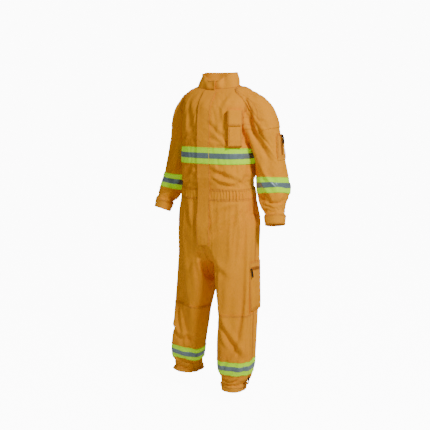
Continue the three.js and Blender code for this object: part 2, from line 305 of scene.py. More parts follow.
x, y, h = rest[:, 0], rest[:, 1], rest[:, 2] + SHOULDER
centre_front = (y < -.02) * (np.abs(x) < .25)
on_arm = {
    "left": (x > .196) & (h > .84),
    "right": (x < -.196) & (h > .84),
}
body_only = ~(on_arm["left"] | on_arm["right"])
neck_away = (rest - np.array(NECK_POINT)) @ np.array(NECK_AWAY)
hold = np.zeros(len(rest))
hold = np.maximum(hold, body_only * .30 * band(h, 1.162, 1.238, .01))
hold = np.maximum(hold, body_only * .55 * band(h, .995, 1.045, .01))
hold = np.maximum(hold, body_only * centre_front * .35 * band(x, -.032, .032, .01) * band(h, .80, 1.48, .02))
hold = np.maximum(hold, .05 * band(h, .185, .245, .01) * (h < .5))
for name in SIDES:
    level = {"left": (1.046, 1.121), "right": (1.033, 1.108)}[name]
    hold = np.maximum(hold, on_arm[name] * .10 * band(h, *level, .01))
    cuff_point, cuff_away = CUFFS[name]
    below = (rest - np.array(cuff_point)) @ np.array(cuff_away)
    hold = np.maximum(hold, on_arm[name] * .8 * band(below, -.04, 1, .01))
    hem_point, hem_away = HEMS[name]
    under = (rest - np.array(hem_point)) @ np.array(hem_away)
    side_of = (x * SIDES[name] > 0) & (h < .5)
    hold = np.maximum(hold, side_of * {"left": .7, "right": .35}[name] * band(under, -.012, 1, .01))
hold = np.maximum(hold, 1.0 * band(neck_away, -.012, 1, .008) * (np.abs(x) < .14))
hold = np.maximum(hold, .02)

spare = np.full(len(rest), .30)
spare = np.maximum(spare, body_only * .75 * band(h, 1.06, 1.14, .03))
spare = np.maximum(spare, body_only * .45 * band(h, .62, .96, .05))
spare = np.maximum(spare, .8 * (h < .5) * band(h, .08, .18, .06))
for name in SIDES:
    spare = np.maximum(spare, on_arm[name] * .8 * band(h, .93, 1.03, .05))


def weigh(obj, name, weights):
    group = obj.vertex_groups.new(name=name)
    for i, w in enumerate(weights):
        group.add([i], float(w), "REPLACE")


simulated = rest.copy()
weigh(garment, "hold", hold)
weigh(garment, "spare", spare)
collision = mannequin.modifiers.new("collision", "COLLISION")
mannequin.collision.thickness_outer = .003
mannequin.collision.cloth_friction = 12
cloth = garment.modifiers.new("cloth", "CLOTH")
setup = cloth.settings
setup.quality = 5
setup.mass = .12
setup.air_damping = 1.5
setup.tension_stiffness = 30
setup.compression_stiffness = 30
setup.shear_stiffness = 12
setup.bending_stiffness = 1.2
setup.tension_damping = setup.compression_damping = setup.shear_damping = 8
setup.bending_damping = 1
setup.vertex_group_mass = "hold"
setup.pin_stiffness = .6
setup.vertex_group_shrink = "spare"
setup.shrink_min = -.03
setup.shrink_max = -.12
cloth.collision_settings.distance_min = .003
cloth.collision_settings.collision_quality = 2
cloth.collision_settings.use_self_collision = False
import time
began = time.time()
cloth.point_cache.frame_end = 40
for number in range(1, 31):
    scene.frame_set(number)
settled = evaluated(garment)
simulated = np.array([v.co for v in settled.vertices])
print("simulated in %.0f s; moved up to %.0f mm, %.1f mm on average" % (
    time.time() - began, 1000 * np.linalg.norm(simulated - rest, axis=1).max(),
    1000 * np.linalg.norm(simulated - rest, axis=1).mean()))
garment.modifiers.clear()
scene.frame_set(1)
drop(mannequin)

# %% [markdown]
# ## Materials
# Two node groups are shared. `Weave` makes the bump of a fine twill, box-mapped from object
# coordinates. `Worn cloth` mixes a base colour with slow variation, dust low down and fine fibres.

# %% Node tools
def new_group(title, inputs, outputs):
    group = bpy.data.node_groups.new(title, "ShaderNodeTree")
    for name, kind, value in inputs:
        socket = group.interface.new_socket(name, in_out="INPUT", socket_type=kind)
        socket.default_value = value
    for name, kind in outputs:
        group.interface.new_socket(name, in_out="OUTPUT", socket_type=kind)
    return group, group.nodes.new("NodeGroupInput"), group.nodes.new("NodeGroupOutput")


def node(tree, kind, **settings):
    """A new node; settings that name an input set its value, and the others set a property."""
    made = tree.nodes.new(kind)
    for key, value in settings.items():
        if hasattr(made, key) and key not in made.inputs:
            setattr(made, key, value)
        else:
            made.inputs[key.replace("_", " ")].default_value = value
    return made


def maths(tree, operation, a, b=None):
    made = tree.nodes.new("ShaderNodeMath")
    made.operation = operation
    for slot, value in ((0, a), (1, b)):
        if value is None:
            continue
        if isinstance(value, (int, float)):
            made.inputs[slot].default_value = value
        else:
            tree.links.new(value, made.inputs[slot])
    return made.outputs[0]


def mix_colour(tree, factor, a, b, blend="MIX"):
    made = tree.nodes.new("ShaderNodeMix")
    made.data_type = "RGBA"
    made.blend_type = blend
    for index, value in ((0, factor), (6, a), (7, b)):
        if isinstance(value, (int, float, tuple)):
            made.inputs[index].default_value = value
        else:
            tree.links.new(value, made.inputs[index])
    return made.outputs[2]


def srgb(code):
    """A linear colour from a six-digit hex code."""
    parts = [int(code[i:i + 2], 16) / 255 for i in (0, 2, 4)]
    return tuple(p / 12.92 if p <= .04045 else ((p + .055) / 1.055) ** 2.4 for p in parts) + (1,)


# %% Shared groups
def build_weave():
    group, source, sink = new_group(
        "Weave",
        [("Scale", "NodeSocketFloat", 900.0), ("Twill", "NodeSocketFloat", .6)],
        [("Height", "NodeSocketFloat"), ("Fibre", "NodeSocketFloat")])
    link = group.links.new
    coords = group.nodes.new("ShaderNodeTexCoord")
    split = group.nodes.new("ShaderNodeSeparateXYZ")
    link(coords.outputs["Object"], split.inputs[0])
    around = maths(group, "ADD", split.outputs["X"], split.outputs["Y"])
    diagonal = maths(group, "ADD", around, split.outputs["Z"])
    twill = maths(group, "SINE", maths(group, "MULTIPLY", diagonal, maths(group, "MULTIPLY", source.outputs["Scale"], 2.6)))
    warp = maths(group, "SINE", maths(group, "MULTIPLY", around, maths(group, "MULTIPLY", source.outputs["Scale"], 5.2)))
    weft = maths(group, "SINE", maths(group, "MULTIPLY", split.outputs["Z"], maths(group, "MULTIPLY", source.outputs["Scale"], 5.2)))
    cross = maths(group, "MULTIPLY", warp, weft)
    fibre = node(group, "ShaderNodeTexNoise", Scale=1500.0, Detail=2.0)
    link(coords.outputs["Object"], fibre.inputs["Vector"])
    height = maths(group, "ADD", maths(group, "MULTIPLY", twill, source.outputs["Twill"]), maths(group, "MULTIPLY", cross, .4))
    height = maths(group, "ADD", height, fibre.outputs["Fac"])
    link(height, sink.inputs["Height"])
    link(fibre.outputs["Fac"], sink.inputs["Fibre"])
    return group


def build_worn():
    group, source, sink = new_group(
        "Worn cloth",
        [("Base", "NodeSocketColor", (1, 1, 1, 1)), ("Deep", "NodeSocketColor", (0, 0, 0, 1)),
         ("Dust", "NodeSocketFloat", .12), ("Fibre", "NodeSocketFloat", .5)],
        [("Color", "NodeSocketColor"), ("Rough", "NodeSocketFloat"), ("Crumple", "NodeSocketFloat")])
    link = group.links.new
    coords = group.nodes.new("ShaderNodeTexCoord")
    broad = node(group, "ShaderNodeTexNoise", Scale=5.0, Detail=4.0, Roughness=.6)
    fine = node(group, "ShaderNodeTexNoise", Scale=60.0, Detail=5.0, Roughness=.65)
    crumple = node(group, "ShaderNodeTexNoise", Scale=32.0, Detail=3.0, Roughness=.5, Distortion=.8)
    for texture in (broad, fine, crumple):
        link(coords.outputs["Object"], texture.inputs["Vector"])
    tone = maths(group, "MULTIPLY", maths(group, "SUBTRACT", broad.outputs["Fac"], .38), 1.1)
    tone = maths(group, "ADD", tone, maths(group, "MULTIPLY", maths(group, "SUBTRACT", fine.outputs["Fac"], .5), .5))
    tone = maths(group, "MAXIMUM", maths(group, "MINIMUM", tone, 1.0), 0.0)
    colour = mix_colour(group, tone, source.outputs["Base"], source.outputs["Deep"])
    split = group.nodes.new("ShaderNodeSeparateXYZ")
    link(coords.outputs["Object"], split.inputs[0])
    low = node(group, "ShaderNodeMapRange", clamp=True)
    for index, value in ((1, -1.40), (2, -1.15), (3, 1.0), (4, 0.0)):
        low.inputs[index].default_value = value
    link(split.outputs["Z"], low.inputs[0])
    dusty = maths(group, "MULTIPLY", maths(group, "MULTIPLY", low.outputs[0], fine.outputs["Fac"]), source.outputs["Dust"])
    colour = mix_colour(group, dusty, colour, srgb("8A7A5C"))
    fleck = maths(group, "MULTIPLY", maths(group, "SUBTRACT", source.outputs["Fibre"], .5), .35)
    fleck = maths(group, "MAXIMUM", fleck, 0.0)
    colour = mix_colour(group, fleck, colour, (1, 1, 1, 1), "SCREEN")
    rough = maths(group, "ADD", maths(group, "MULTIPLY", fine.outputs["Fac"], .18), .70)
    link(colour, sink.inputs["Color"])
    link(rough, sink.inputs["Rough"])
    link(crumple.outputs["Fac"], sink.inputs["Crumple"])
    return group


WEAVE = build_weave()
WORN = build_worn()


def group_node(tree, group, **values):
    made = tree.nodes.new("ShaderNodeGroup")
    made.node_tree = group
    for name, value in values.items():
        made.inputs[name].default_value = value
    return made


def bumped(tree, heights):
    """Bump nodes in a chain, from (height socket, strength, distance) entries."""
    normal = None
    for height, strength, distance in heights:
        bump = tree.nodes.new("ShaderNodeBump")
        bump.inputs["Strength"].default_value = strength
        bump.inputs["Distance"].default_value = distance
        tree.links.new(height, bump.inputs["Height"])
        if normal:
            tree.links.new(normal, bump.inputs["Normal"])
        normal = bump.outputs["Normal"]
    return normal


def cloth_look(name, base, deep, scale=900.0, twill=.6, weave=.25, dust=.12, sheen=.25, crumple=.25):
    look = bpy.data.materials.new(name)
    look.use_nodes = True
    tree = look.node_tree
    shader = tree.nodes["Principled BSDF"]
    cloth = group_node(tree, WEAVE, Scale=scale, Twill=twill)
    worn = group_node(tree, WORN, Base=srgb(base), Deep=srgb(deep), Dust=dust)
    tree.links.new(cloth.outputs["Fibre"], worn.inputs["Fibre"])
    tree.links.new(worn.outputs["Color"], shader.inputs["Base Color"])
    tree.links.new(worn.outputs["Rough"], shader.inputs["Roughness"])
    normal = bumped(tree, [(worn.outputs["Crumple"], crumple, .0035), (cloth.outputs["Height"], weave, .0003)])
    tree.links.new(normal, shader.inputs["Normal"])
    shader.inputs["Sheen Weight"].default_value = sheen
    shader.inputs["Sheen Roughness"].default_value = .45
    shader.inputs["Sheen Tint"].default_value = srgb(base)
    shader.inputs["Specular IOR Level"].default_value = .12
    shader.inputs["Specular Tint"].default_value = srgb(base)
    look.diffuse_color = srgb(base)
    return look


def metal_look(name, colour, rough, metallic=1.0):
    look = bpy.data.materials.new(name)
    look.use_nodes = True
    tree = look.node_tree
    shader = tree.nodes["Principled BSDF"]
    coords = tree.nodes.new("ShaderNodeTexCoord")
    grain = node(tree, "ShaderNodeTexNoise", Scale=420.0, Detail=3.0)
    tree.links.new(coords.outputs["Object"], grain.inputs["Vector"])
    dark = tuple(c * .55 for c in srgb(colour)[:3]) + (1,)
    tree.links.new(mix_colour(tree, grain.outputs["Fac"], srgb(colour), dark), shader.inputs["Base Color"])
    spread = maths(tree, "ADD", maths(tree, "MULTIPLY", grain.outputs["Fac"], .25), rough - .1)
    tree.links.new(spread, shader.inputs["Roughness"])
    tree.links.new(bumped(tree, [(grain.outputs["Fac"], .15, .0002)]), shader.inputs["Normal"])
    shader.inputs["Metallic"].default_value = metallic
    look.diffuse_color = srgb(colour)
    return look


# %% Finishes
TWILL = cloth_look("Outer twill", "F49E00", "E28600", sheen=.02, weave=.22, crumple=.55)
LIME = cloth_look("Lime tape", "BCF200", "A4E400", scale=700.0, twill=.1, weave=.35, dust=.25, sheen=.05, crumple=.12)
# Painted light: the lime tape glows a little by its own emission, brighter than the lamps alone make it.
LIME.node_tree.nodes["Principled BSDF"].inputs["Emission Color"].default_value = srgb("A8F000")
LIME.node_tree.nodes["Principled BSDF"].inputs["Emission Strength"].default_value = .3
# The thread is darker than its own tan: partly thread colour, partly painted shade along the topstitching.
THREAD = cloth_look("Tan thread with painted stitch shade", "B8743C", "965A2A", scale=2200.0, weave=.3, sheen=.2, dust=.1)
ZIP_CLOTH = cloth_look("Zip tape", "B0691A", "8E500E", scale=1200.0, twill=.1, weave=.3)
HOOK = cloth_look("Hook and loop", "B86E12", "8E500A", scale=500.0, twill=0.0, weave=.9, sheen=.5)
BRASS = metal_look("Brass", "B8924A", .35)
BLACK = metal_look("Black moulding", "16171A", .48, 0.0)


def silver_look():
    """Retroreflective film: a fine bead texture, and a painted glint that lightens its colour a little at a grazing
    view.
    """
    look = bpy.data.materials.new("Silver tape")
    look.use_nodes = True
    tree = look.node_tree
    shader = tree.nodes["Principled BSDF"]
    coords = tree.nodes.new("ShaderNodeTexCoord")
    beads = node(tree, "ShaderNodeTexVoronoi", Scale=1400.0)
    scuffs = node(tree, "ShaderNodeTexNoise", Scale=38.0, Detail=5.0, Roughness=.7)
    for texture in (beads, scuffs):
        tree.links.new(coords.outputs["Object"], texture.inputs["Vector"])
    # Painted glint: the colour lightens towards a grazing view, by the facing value.
    facing = node(tree, "ShaderNodeLayerWeight", Blend=.35)
    base = mix_colour(tree, scuffs.outputs["Fac"], srgb("869A9E"), srgb("5E7276"))
    base = mix_colour(tree, facing.outputs["Facing"], base, srgb("8C9A9D"))
    tree.links.new(base, shader.inputs["Base Color"])
    spread = maths(tree, "ADD", maths(tree, "MULTIPLY", scuffs.outputs["Fac"], .25), .30)
    tree.links.new(spread, shader.inputs["Roughness"])
    tree.links.new(bumped(tree, [(beads.outputs["Distance"], .2, .0002)]), shader.inputs["Normal"])
    shader.inputs["Metallic"].default_value = .35
    shader.inputs["Specular IOR Level"].default_value = .5
    look.diffuse_color = srgb("7C8F93")
    return look


SILVER = silver_look()
print("materials:", len(bpy.data.materials))

# %% [markdown]
# ## From rest shape to folded shape
# Seams and edges are cut on the rest shape, where they are plain planes. Every vertex carries its
# simulated place and normal in layers, so each cut lands in the right spot on the folded cloth.

# %% Set folds
CREASES = [
    # start and end as (x, height), then half width and depth, on the front of the garment
    ((.072, .475), (.185, .268), .017, .0120), ((.060, .430), (.110, .300), .014, .0050),
    ((.168, .985), (.030, .860), .022, .0075), ((.172, .930), (.055, .800), .024, .0070),
    ((.160, 1.000), (.060, .960), .014, .0050), ((.020, .760), (.120, .640), .022, .0060),
    ((-.265, .345), (-.205, .290), .015, .0075), ((-.205, .290), (-.130, .305), .015, .0075),
    ((-.020, .740), (-.105, .665), .016, .0070), ((-.060, 1.000), (-.030, .850), .014, .0050),
    ((-.120, .990), (-.070, .860), .016, .0050), ((-.150, .600), (-.200, .420), .022, .0050),
    ((.045, 1.150), (.165, 1.085), .013, .0070), ((.040, 1.105), (.150, 1.056), .011, .0060),
    ((-.045, 1.140), (-.150, 1.085), .013, .0060), ((-.040, 1.100), (-.120, 1.060), .011, .0050),
    ((.105, 1.470), (.052, 1.300), .020, .0055), ((.135, 1.440), (.085, 1.260), .018, .0050),
    ((-.085, 1.460), (-.060, 1.290), .020, .0050), ((-.130, 1.430), (-.120, 1.270), .018, .0050),
    ((.176, 1.400), (.168, 1.255), .013, .0080), ((-.172, 1.390), (-.168, 1.260), .013, .0070),
    ((.225, 1.430), (.262, 1.160), .020, .0055), ((.270, 1.380), (.300, 1.180), .018, .0040),
    ((.240, 1.032), (.335, 1.008), .009, .0070), ((.250, 1.000), (.335, .975), .009, .0060),
    ((.262, .968), (.330, .955), .008, .0045), ((-.240, 1.018), (-.330, .990), .009, .0065),
    ((-.258, .978), (-.330, .962), .008, .0050), ((-.245, 1.330), (-.262, 1.130), .017, .0045),
    ((.055, .158), (.190, .146), .009, .0065), ((.055, .126), (.185, .118), .009, .0060),
    ((.070, .098), (.175, .096), .008, .0040), ((-.285, .160), (-.160, .150), .009, .0060),
    ((-.285, .122), (-.170, .116), .009, .0050),
]
rest_normals = np.array([v.normal for v in rest_mesh.vertices])
facing_front = np.clip(-rest_normals[:, 1] * 2 + .1, 0, 1)
flat_points = np.stack([rest[:, 0], rest[:, 2] + SHOULDER], 1)
for start, end, reach, depth in CREASES:
    start, end = np.array(start), np.array(end)
    run = end - start
    along = (flat_points - start) @ run / (run @ run)
    aside = ((flat_points - start) @ np.array([-run[1], run[0]])) / np.linalg.norm(run)
    bend = aside - reach * .35 * np.sin(along * 5 + start[1] * 20)
    taper = np.clip(along * 4 + .5, 0, 1) * np.clip((1 - along) * 3 + .4, 0, 1)
    fold = np.exp(-(bend / reach) ** 2) * (bend / reach) * 1.9 - .35 * np.exp(-(bend / (reach * .5)) ** 2)
    simulated = simulated + rest_normals * (facing_front * taper * fold * depth)[:, None]
print("creases:", len(CREASES))

# %% Master mesh with seams
drop(garment)
folded = rest_mesh.copy()
folded.vertices.foreach_set("co", simulated.astype(np.float32).ravel())
folded.update()
bm = bmesh.new()
bm.from_mesh(folded)
bmesh.ops.smooth_vert(bm, verts=[v for v in bm.verts if not v.is_boundary], factor=.30,
                      use_axis_x=True, use_axis_y=True, use_axis_z=True)
bm.normal_update()
fold_place = [v.co.copy() for v in bm.verts]
fold_normal = [v.normal.copy() for v in bm.verts]
bm.free()
master = bmesh.new()
master.from_mesh(rest_mesh)
PLACE = master.verts.layers.float_vector.new("place")
NORMAL = master.verts.layers.float_vector.new("normal")
PANEL = master.faces.layers.int.new("panel")
for v, place, normal in zip(master.verts, fold_place, fold_normal):
    v[PLACE] = place
    v[NORMAL] = normal

WAIST = (height_z(.990), height_z(1.045))
ZIP_HALF = .006
FLAP_HALF = .033
FLAP_BOTTOM = height_z(.784)
CUFF_LENGTH = .046
ARM_GAP = ([.80, .90, 1.05, 1.15, 1.24, 1.285], [.240, .236, .202, .189, .180, .181])
ARMHOLE = {name: (Vector((side * .186, 0, height_z(1.372))), Vector((side * .995, 0, -.095)).normalized())
           for name, side in SIDES.items()}


def arm_of(co):
    """The arm that a rest point belongs to, or None for the torso and legs."""
    height = co.z + SHOULDER
    if height < .80:
        return None
    name = "left" if co.x > 0 else "right"
    if height < 1.285:
        return name if abs(co.x) > np.interp(height, *ARM_GAP) else None
    point, away = ARMHOLE[name]
    return name if (co - point).dot(away) > 0 else None


def leg_seam(name):
    """The leaning plane of a leg's side seam, as a point and the direction of its back."""
    drift = {"left": -.050, "right": .068}[name]
    return Vector((0, 0, height_z(.90))), Vector((0, .83, drift)).normalized()


def score(bm, point, away, picked=None):
    """Adds the edges where a plane meets the picked faces, and cuts nothing away."""
    faces = [f for f in bm.faces if picked is None or picked(f.calc_center_median())]
    geometry = set(faces)
    for f in faces:
        geometry.update(f.edges)
        geometry.update(f.verts)
    bmesh.ops.bisect_plane(bm, geom=list(geometry), dist=2e-5, plane_co=point, plane_no=away)


def is_torso(co):
    return arm_of(co) is None


for name, side in SIDES.items():
    score(master, *ARMHOLE[name], lambda co, s=side: co.x * s > .14 and co.z > height_z(1.262))
    cuff_point, cuff_away = CUFFS[name]
    score(master, cuff_point - cuff_away * CUFF_LENGTH, cuff_away, lambda co, n=name: arm_of(co) == n and co.z < height_z(1.05))
    score(master, *leg_seam(name), lambda co, s=side: is_torso(co) and co.x * s > 0 and co.z < WAIST[0])
score(master, Vector((0, -.006, 0)), Vector((0, 1, 0)), lambda co: is_torso(co) and co.z > WAIST[1] - .01)
for level in WAIST:
    score(master, Vector((0, 0, level)), Vector((0, 0, 1)), is_torso)
score(master, Vector((0, 0, 0)), Vector((1, 0, 0)), lambda co: co.z < WAIST[0])
for edge in (-ZIP_HALF, ZIP_HALF):
    score(master, Vector((edge, 0, 0)), Vector((1, 0, 0)), lambda co: co.y < 0 and co.z > FLAP_BOTTOM)

PANELS = ["bodice_back", "bodice_front_left", "bodice_front_right", "waist_casing", "trouser_front_left",
          "trouser_front_right", "trouser_back_left", "trouser_back_right", "sleeve_left", "sleeve_right",
          "cuff_band_left", "cuff_band_right", "placket", "waist_front"]


def panel_of(co):
    arm_name = arm_of(co)
    if arm_name:
        cuff_point, cuff_away = CUFFS[arm_name]
        part = "cuff_band" if (co - cuff_point).dot(cuff_away) > -CUFF_LENGTH else "sleeve"
        return f"{part}_{arm_name}"
    if co.y < 0 and abs(co.x) < ZIP_HALF and co.z > FLAP_BOTTOM:
        return "placket"
    name = "left" if co.x > 0 else "right"
    if co.z > WAIST[1]:
        return "bodice_back" if co.y > -.006 else f"bodice_front_{name}"
    if co.z > WAIST[0]:
        return "waist_front" if co.y < 0 else "waist_casing"
    point, back = leg_seam(name)
    return f"trouser_{'back' if (co - point).dot(back) > 0 else 'front'}_{name}"


for f in master.faces:
    f[PANEL] = PANELS.index(panel_of(f.calc_center_median()))
counts = np.bincount([f[PANEL] for f in master.faces], minlength=len(PANELS))
print(dict(zip(PANELS, counts.tolist())))


# %% [markdown]
# `cutout` takes some panels and keeps only what is behind the given planes. `settle` moves the
# rest shape to the folded cloth, a little off its surface.

# %% Cutting tools
def cutout(panels, cuts=(), source=None):
    """A copy of some panels on the rest shape. Each cut is a point and the direction cut away."""
    wanted = {PANELS.index(p) for p in panels}
    bm = (source or master).copy()
    layer = bm.faces.layers.int["panel"]
    bmesh.ops.delete(bm, geom=[f for f in bm.faces if f[layer] not in wanted], context="FACES")
    for point, away in cuts:
        bmesh.ops.bisect_plane(bm, geom=bm.verts[:] + bm.edges[:] + bm.faces[:], dist=2e-5, plane_co=point,
                               plane_no=away, clear_outer=True)
    return bm


def settle(bm, lift):
    """Moves every vertex to the folded cloth; lift is a distance or a function of the rest point."""
    place = bm.verts.layers.float_vector["place"]
    normal = bm.verts.layers.float_vector["normal"]
    for v in bm.verts:
        off = lift(v.co) if callable(lift) else lift
        v.co = v[place] + v[normal].normalized() * off
    return bm


def finish_piece(bm, name, thick, levels=1, smooth=True):
    """A piece from an open surface: smoothed, and given its cloth's thickness inwards."""
    bmesh.ops.remove_doubles(bm, verts=bm.verts, dist=.0004)
    mesh = bpy.data.meshes.new(name)
    bm.to_mesh(mesh)
    bm.free()
    obj = bpy.data.objects.new(name, mesh)
    scene.collection.objects.link(obj)
    if levels:
        smoother = obj.modifiers.new("smooth", "SUBSURF")
        smoother.levels = smoother.render_levels = levels
        smoother.boundary_smooth = "PRESERVE_CORNERS"
    if thick:
        wall = obj.modifiers.new("thick", "SOLIDIFY")
        wall.thickness = thick
        wall.offset = -1
    done = evaluated(obj)
    done.name = name
    drop(obj)
    if smooth:
        done.shade_smooth()
    for attribute in ("place", "normal", "panel"):
        if attribute in done.attributes:
            done.attributes.remove(done.attributes[attribute])
    obj = bpy.data.objects.new(name, done)
    scene.collection.objects.link(obj)
    return obj


pieces = {}


def put(obj, body, slot, *nodes, look):
    """Registers a piece: the body it rides on (None leaves it unattached), its finish, and its CAD nodes."""
    obj.data.materials.clear()
    obj.data.materials.append(look)
    if body:
        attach(obj, body)
    if nodes:
        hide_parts(*nodes)
    pieces[obj.name] = obj
    return obj


# Nearest folded place and normal for any point near the rest shape.
solid = master.copy()
bmesh.ops.triangulate(solid, faces=solid.faces)
solid.verts.ensure_lookup_table()
solid_place = solid.verts.layers.float_vector["place"]
solid_normal = solid.verts.layers.float_vector["normal"]
tri_index = [[v.index for v in f.verts] for f in solid.faces]
solid.verts.index_update()
tri_index = [[v.index for v in f.verts] for f in solid.faces]
rest_points = [v.co.copy() for v in solid.verts]
place_points = [v[solid_place].copy() for v in solid.verts]
normal_points = [v[solid_normal].copy() for v in solid.verts]
solid.free()
rest_tree = BVHTree.FromPolygons(rest_points, tri_index)


def on_cloth(point, lift=0.0):
    """The folded place, off the cloth by lift, and the folded normal, nearest to a rest point."""
    found, _, index, _ = rest_tree.find_nearest(Vector(point))
    a, b, c = (rest_points[i] for i in tri_index[index])
    ab, ac, ap = b - a, c - a, found - a
    d00, d01, d11, d20, d21 = ab.dot(ab), ab.dot(ac), ac.dot(ac), ap.dot(ab), ap.dot(ac)
    scale = d00 * d11 - d01 * d01
    v = (d11 * d20 - d01 * d21) / scale if scale > 1e-14 else 0
    w = (d00 * d21 - d01 * d20) / scale if scale > 1e-14 else 0
    weights = (1 - v - w, v, w)
    place, normal = Vector(), Vector()
    for weight, i in zip(weights, tri_index[index]):
        place += weight * place_points[i]
        normal += weight * normal_points[i]
    normal.normalize()
    return place + normal * lift, normal


# %% [markdown]
# ## Stitches
# A stitch line is where a plane meets a piece on the rest shape. The lines are gathered for each
# body and thread, and Geometry Nodes lays real stitches along them at the end.

# %% Stitch lines
stitch_lines = {}


def chains(edges):
    """Joins loose edges, given as vertex pairs, into ordered runs of vertices."""
    links = {}
    for a, b in edges:
        links.setdefault(a, []).append(b)
        links.setdefault(b, []).append(a)
    runs, used = [], set()
    starts = [v for v in links if len(links[v]) != 2] + list(links)
    for start in starts:
        for onward in links[start]:
            if frozenset((start, onward)) in used:
                continue
            run = [start, onward]
            used.add(frozenset((start, onward)))
            while len(links[run[-1]]) == 2:
                options = [v for v in links[run[-1]] if frozenset((run[-1], v)) not in used]
                if not options:
                    break
                used.add(frozenset((run[-1], options[0])))
                run.append(options[0])
            runs.append(run)
    return runs


def stitch(group, panels, point, away, cuts=(), lift=.0012, rows=(0,), source=None):
    """Stitch rows where a plane, moved back by each row's distance, meets the panels."""
    for row in rows:
        bm = cutout(panels, cuts, source)
        spot = Vector(point) - Vector(away).normalized() * row
        geometry = bm.verts[:] + bm.edges[:] + bm.faces[:]
        found = bmesh.ops.bisect_plane(bm, geom=geometry, dist=2e-5, plane_co=spot, plane_no=away)["geom_cut"]
        edges = [e for e in found if isinstance(e, bmesh.types.BMEdge)]
        place = bm.verts.layers.float_vector["place"]
        normal = bm.verts.layers.float_vector["normal"]
        for run in chains([tuple(e.verts) for e in edges]):
            line = []
            for v in run:
                off = lift(v.co) if callable(lift) else lift
                line.append(v[place] + v[normal].normalized() * off)
            if len(line) > 2:
                stitch_lines.setdefault(group, []).append(line)
        bm.free()


DOUBLE = (.003, .009)
# %% [markdown]
# ## Outer panels
# Each panel is one sheet of cloth. Its flat size comes from its area on the rest shape, which is
# what the cutter would lay out.

# %% Outer panels
CLOTH_THICK = .0012


def area_of(bm):
    return sum(f.calc_area() for f in bm.faces)


def patch(name, panels, cuts, lift, thick, look, slot, nodes, body=GARMENT, levels=1, source=None,
          dense=0):
    bm = cutout(panels, cuts, source)
    area = area_of(bm)
    if dense:
        bmesh.ops.subdivide_edges(bm, edges=bm.edges, cuts=dense, use_grid_fill=True)
    obj = finish_piece(settle(bm, lift), name, thick, levels)
    put(obj, body, slot, *nodes, look=look)
    return obj


def gather(co):
    """Ripples of the elastic at the sides of the waist, flat at the front and back."""
    turn = math.atan2(co.y + .004, co.x)
    beside = min(max((abs(math.cos(turn)) - .55) / .3, 0), 1)
    rise = math.sin(math.pi * min(max((co.z - WAIST[0]) / (WAIST[1] - WAIST[0]), 0), 1))
    ripple = math.sin(turn * 74 + .7 * math.sin(co.z * 60)) + .4 * math.sin(turn * 37 + 1)
    return .0002 + beside * rise * .0028 * ripple


UP, DOWN = Vector((0, 0, 1)), Vector((0, 0, -1))
LEFTWARD, RIGHTWARD = Vector((1, 0, 0)), Vector((-1, 0, 0))
patch("bodice_back_panel", ["bodice_back"], [], 0, CLOTH_THICK, TWILL, "shell_cloth", ["bodice_back"])
patch("waist_gather", ["waist_casing", "waist_front"], [], gather, CLOTH_THICK, TWILL, "shell_cloth", ["waist_casing"], dense=2, levels=1)
for name in SIDES:
    for part in ("bodice_front", "trouser_front", "trouser_back"):
        length = .46 if part == "bodice_front" else .90
        patch(f"{part}_{name}_panel", [f"{part}_{name}"], [], 0, CLOTH_THICK, TWILL, "shell_cloth",
              [f"{part}_{name}"])
    patch(f"sleeve_{name}_panel", [f"sleeve_{name}"], [], .0004, CLOTH_THICK, TWILL, "shell_cloth",
          [f"sleeve_front_{name}", f"sleeve_back_{name}"])
    cuff_point, cuff_away = CUFFS[name]
    patch(f"cuff_band_{name}_panel", [f"cuff_band_{name}", f"sleeve_{name}"],
          [(cuff_point - cuff_away * (CUFF_LENGTH + .002), -cuff_away)], .0010, .0022, TWILL, "shell_cloth",
          [f"cuff_band_{name}"])
print("panels:", len(pieces))

# %% [markdown]
# ## Reinforcements and tape
# Patches and tape are cut on the rest shape and lie just outside the panels.

# %% Shoulder and knee patches
SHOULDER_EDGE = {"front": -.056, "back": .060}
for name, side in SIDES.items():
    inner = Vector((side * .112, 0, 0)), Vector((-side, 0, 0))
    corner = Vector((side * .112, SHOULDER_EDGE["front"] + .018, 0)), Vector((-side, -1, 0)).normalized()
    ledge = Vector((0, 0, height_z(1.334))), DOWN
    cap_slope = Vector((side * .30, 0, height_z(1.352))), Vector((side * .35, 0, -1)).normalized()
    front_edge = Vector((0, SHOULDER_EDGE["front"], 0)), Vector((0, -1, .12)).normalized()
    back_edge = Vector((0, SHOULDER_EDGE["back"], 0)), Vector((0, 1, .12)).normalized()
    cuts = [inner, corner, front_edge, back_edge, ledge, cap_slope]
    panels = ["bodice_back", f"bodice_front_{name}", f"sleeve_{name}"]
    patch(f"shoulder_patch_{name}_panel", panels, cuts, .0022, .0022, TWILL, "shell_cloth",
          [f"shoulder_patch_{name}"])
    for point, away in (inner, corner, front_edge, back_edge):
        rest_of = [c for c in cuts if c[0] != point]
        stitch((GARMENT, "thread"), panels, point, away, rest_of, .0027, DOUBLE)
    knee_cuts = [(Vector((0, 0, height_z(.470))), UP), (Vector((0, 0, height_z(.246))), DOWN)]
    patch(f"knee_patch_{name}_panel", [f"trouser_front_{name}"], knee_cuts, .0018, .0020, TWILL, "shell_cloth",
          [f"knee_patch_{name}"])
    stitch((GARMENT, "thread"), [f"trouser_front_{name}"], *knee_cuts[0], [], .0023, DOUBLE)

# %% Storm flap
FLAP_PANELS = ["placket", "bodice_front_left", "bodice_front_right", "waist_front", "trouser_front_left",
               "trouser_front_right"]
FLAP_TOP = NECK_POINT - NECK_AWAY * .0078, NECK_AWAY
FLAP_CUTS = [(Vector((-FLAP_HALF, 0, 0)), RIGHTWARD), (Vector((FLAP_HALF, 0, 0)), LEFTWARD), FLAP_TOP,
             (Vector((0, 0, FLAP_BOTTOM)), DOWN)]
FLAP_BODY = "storm_flap"


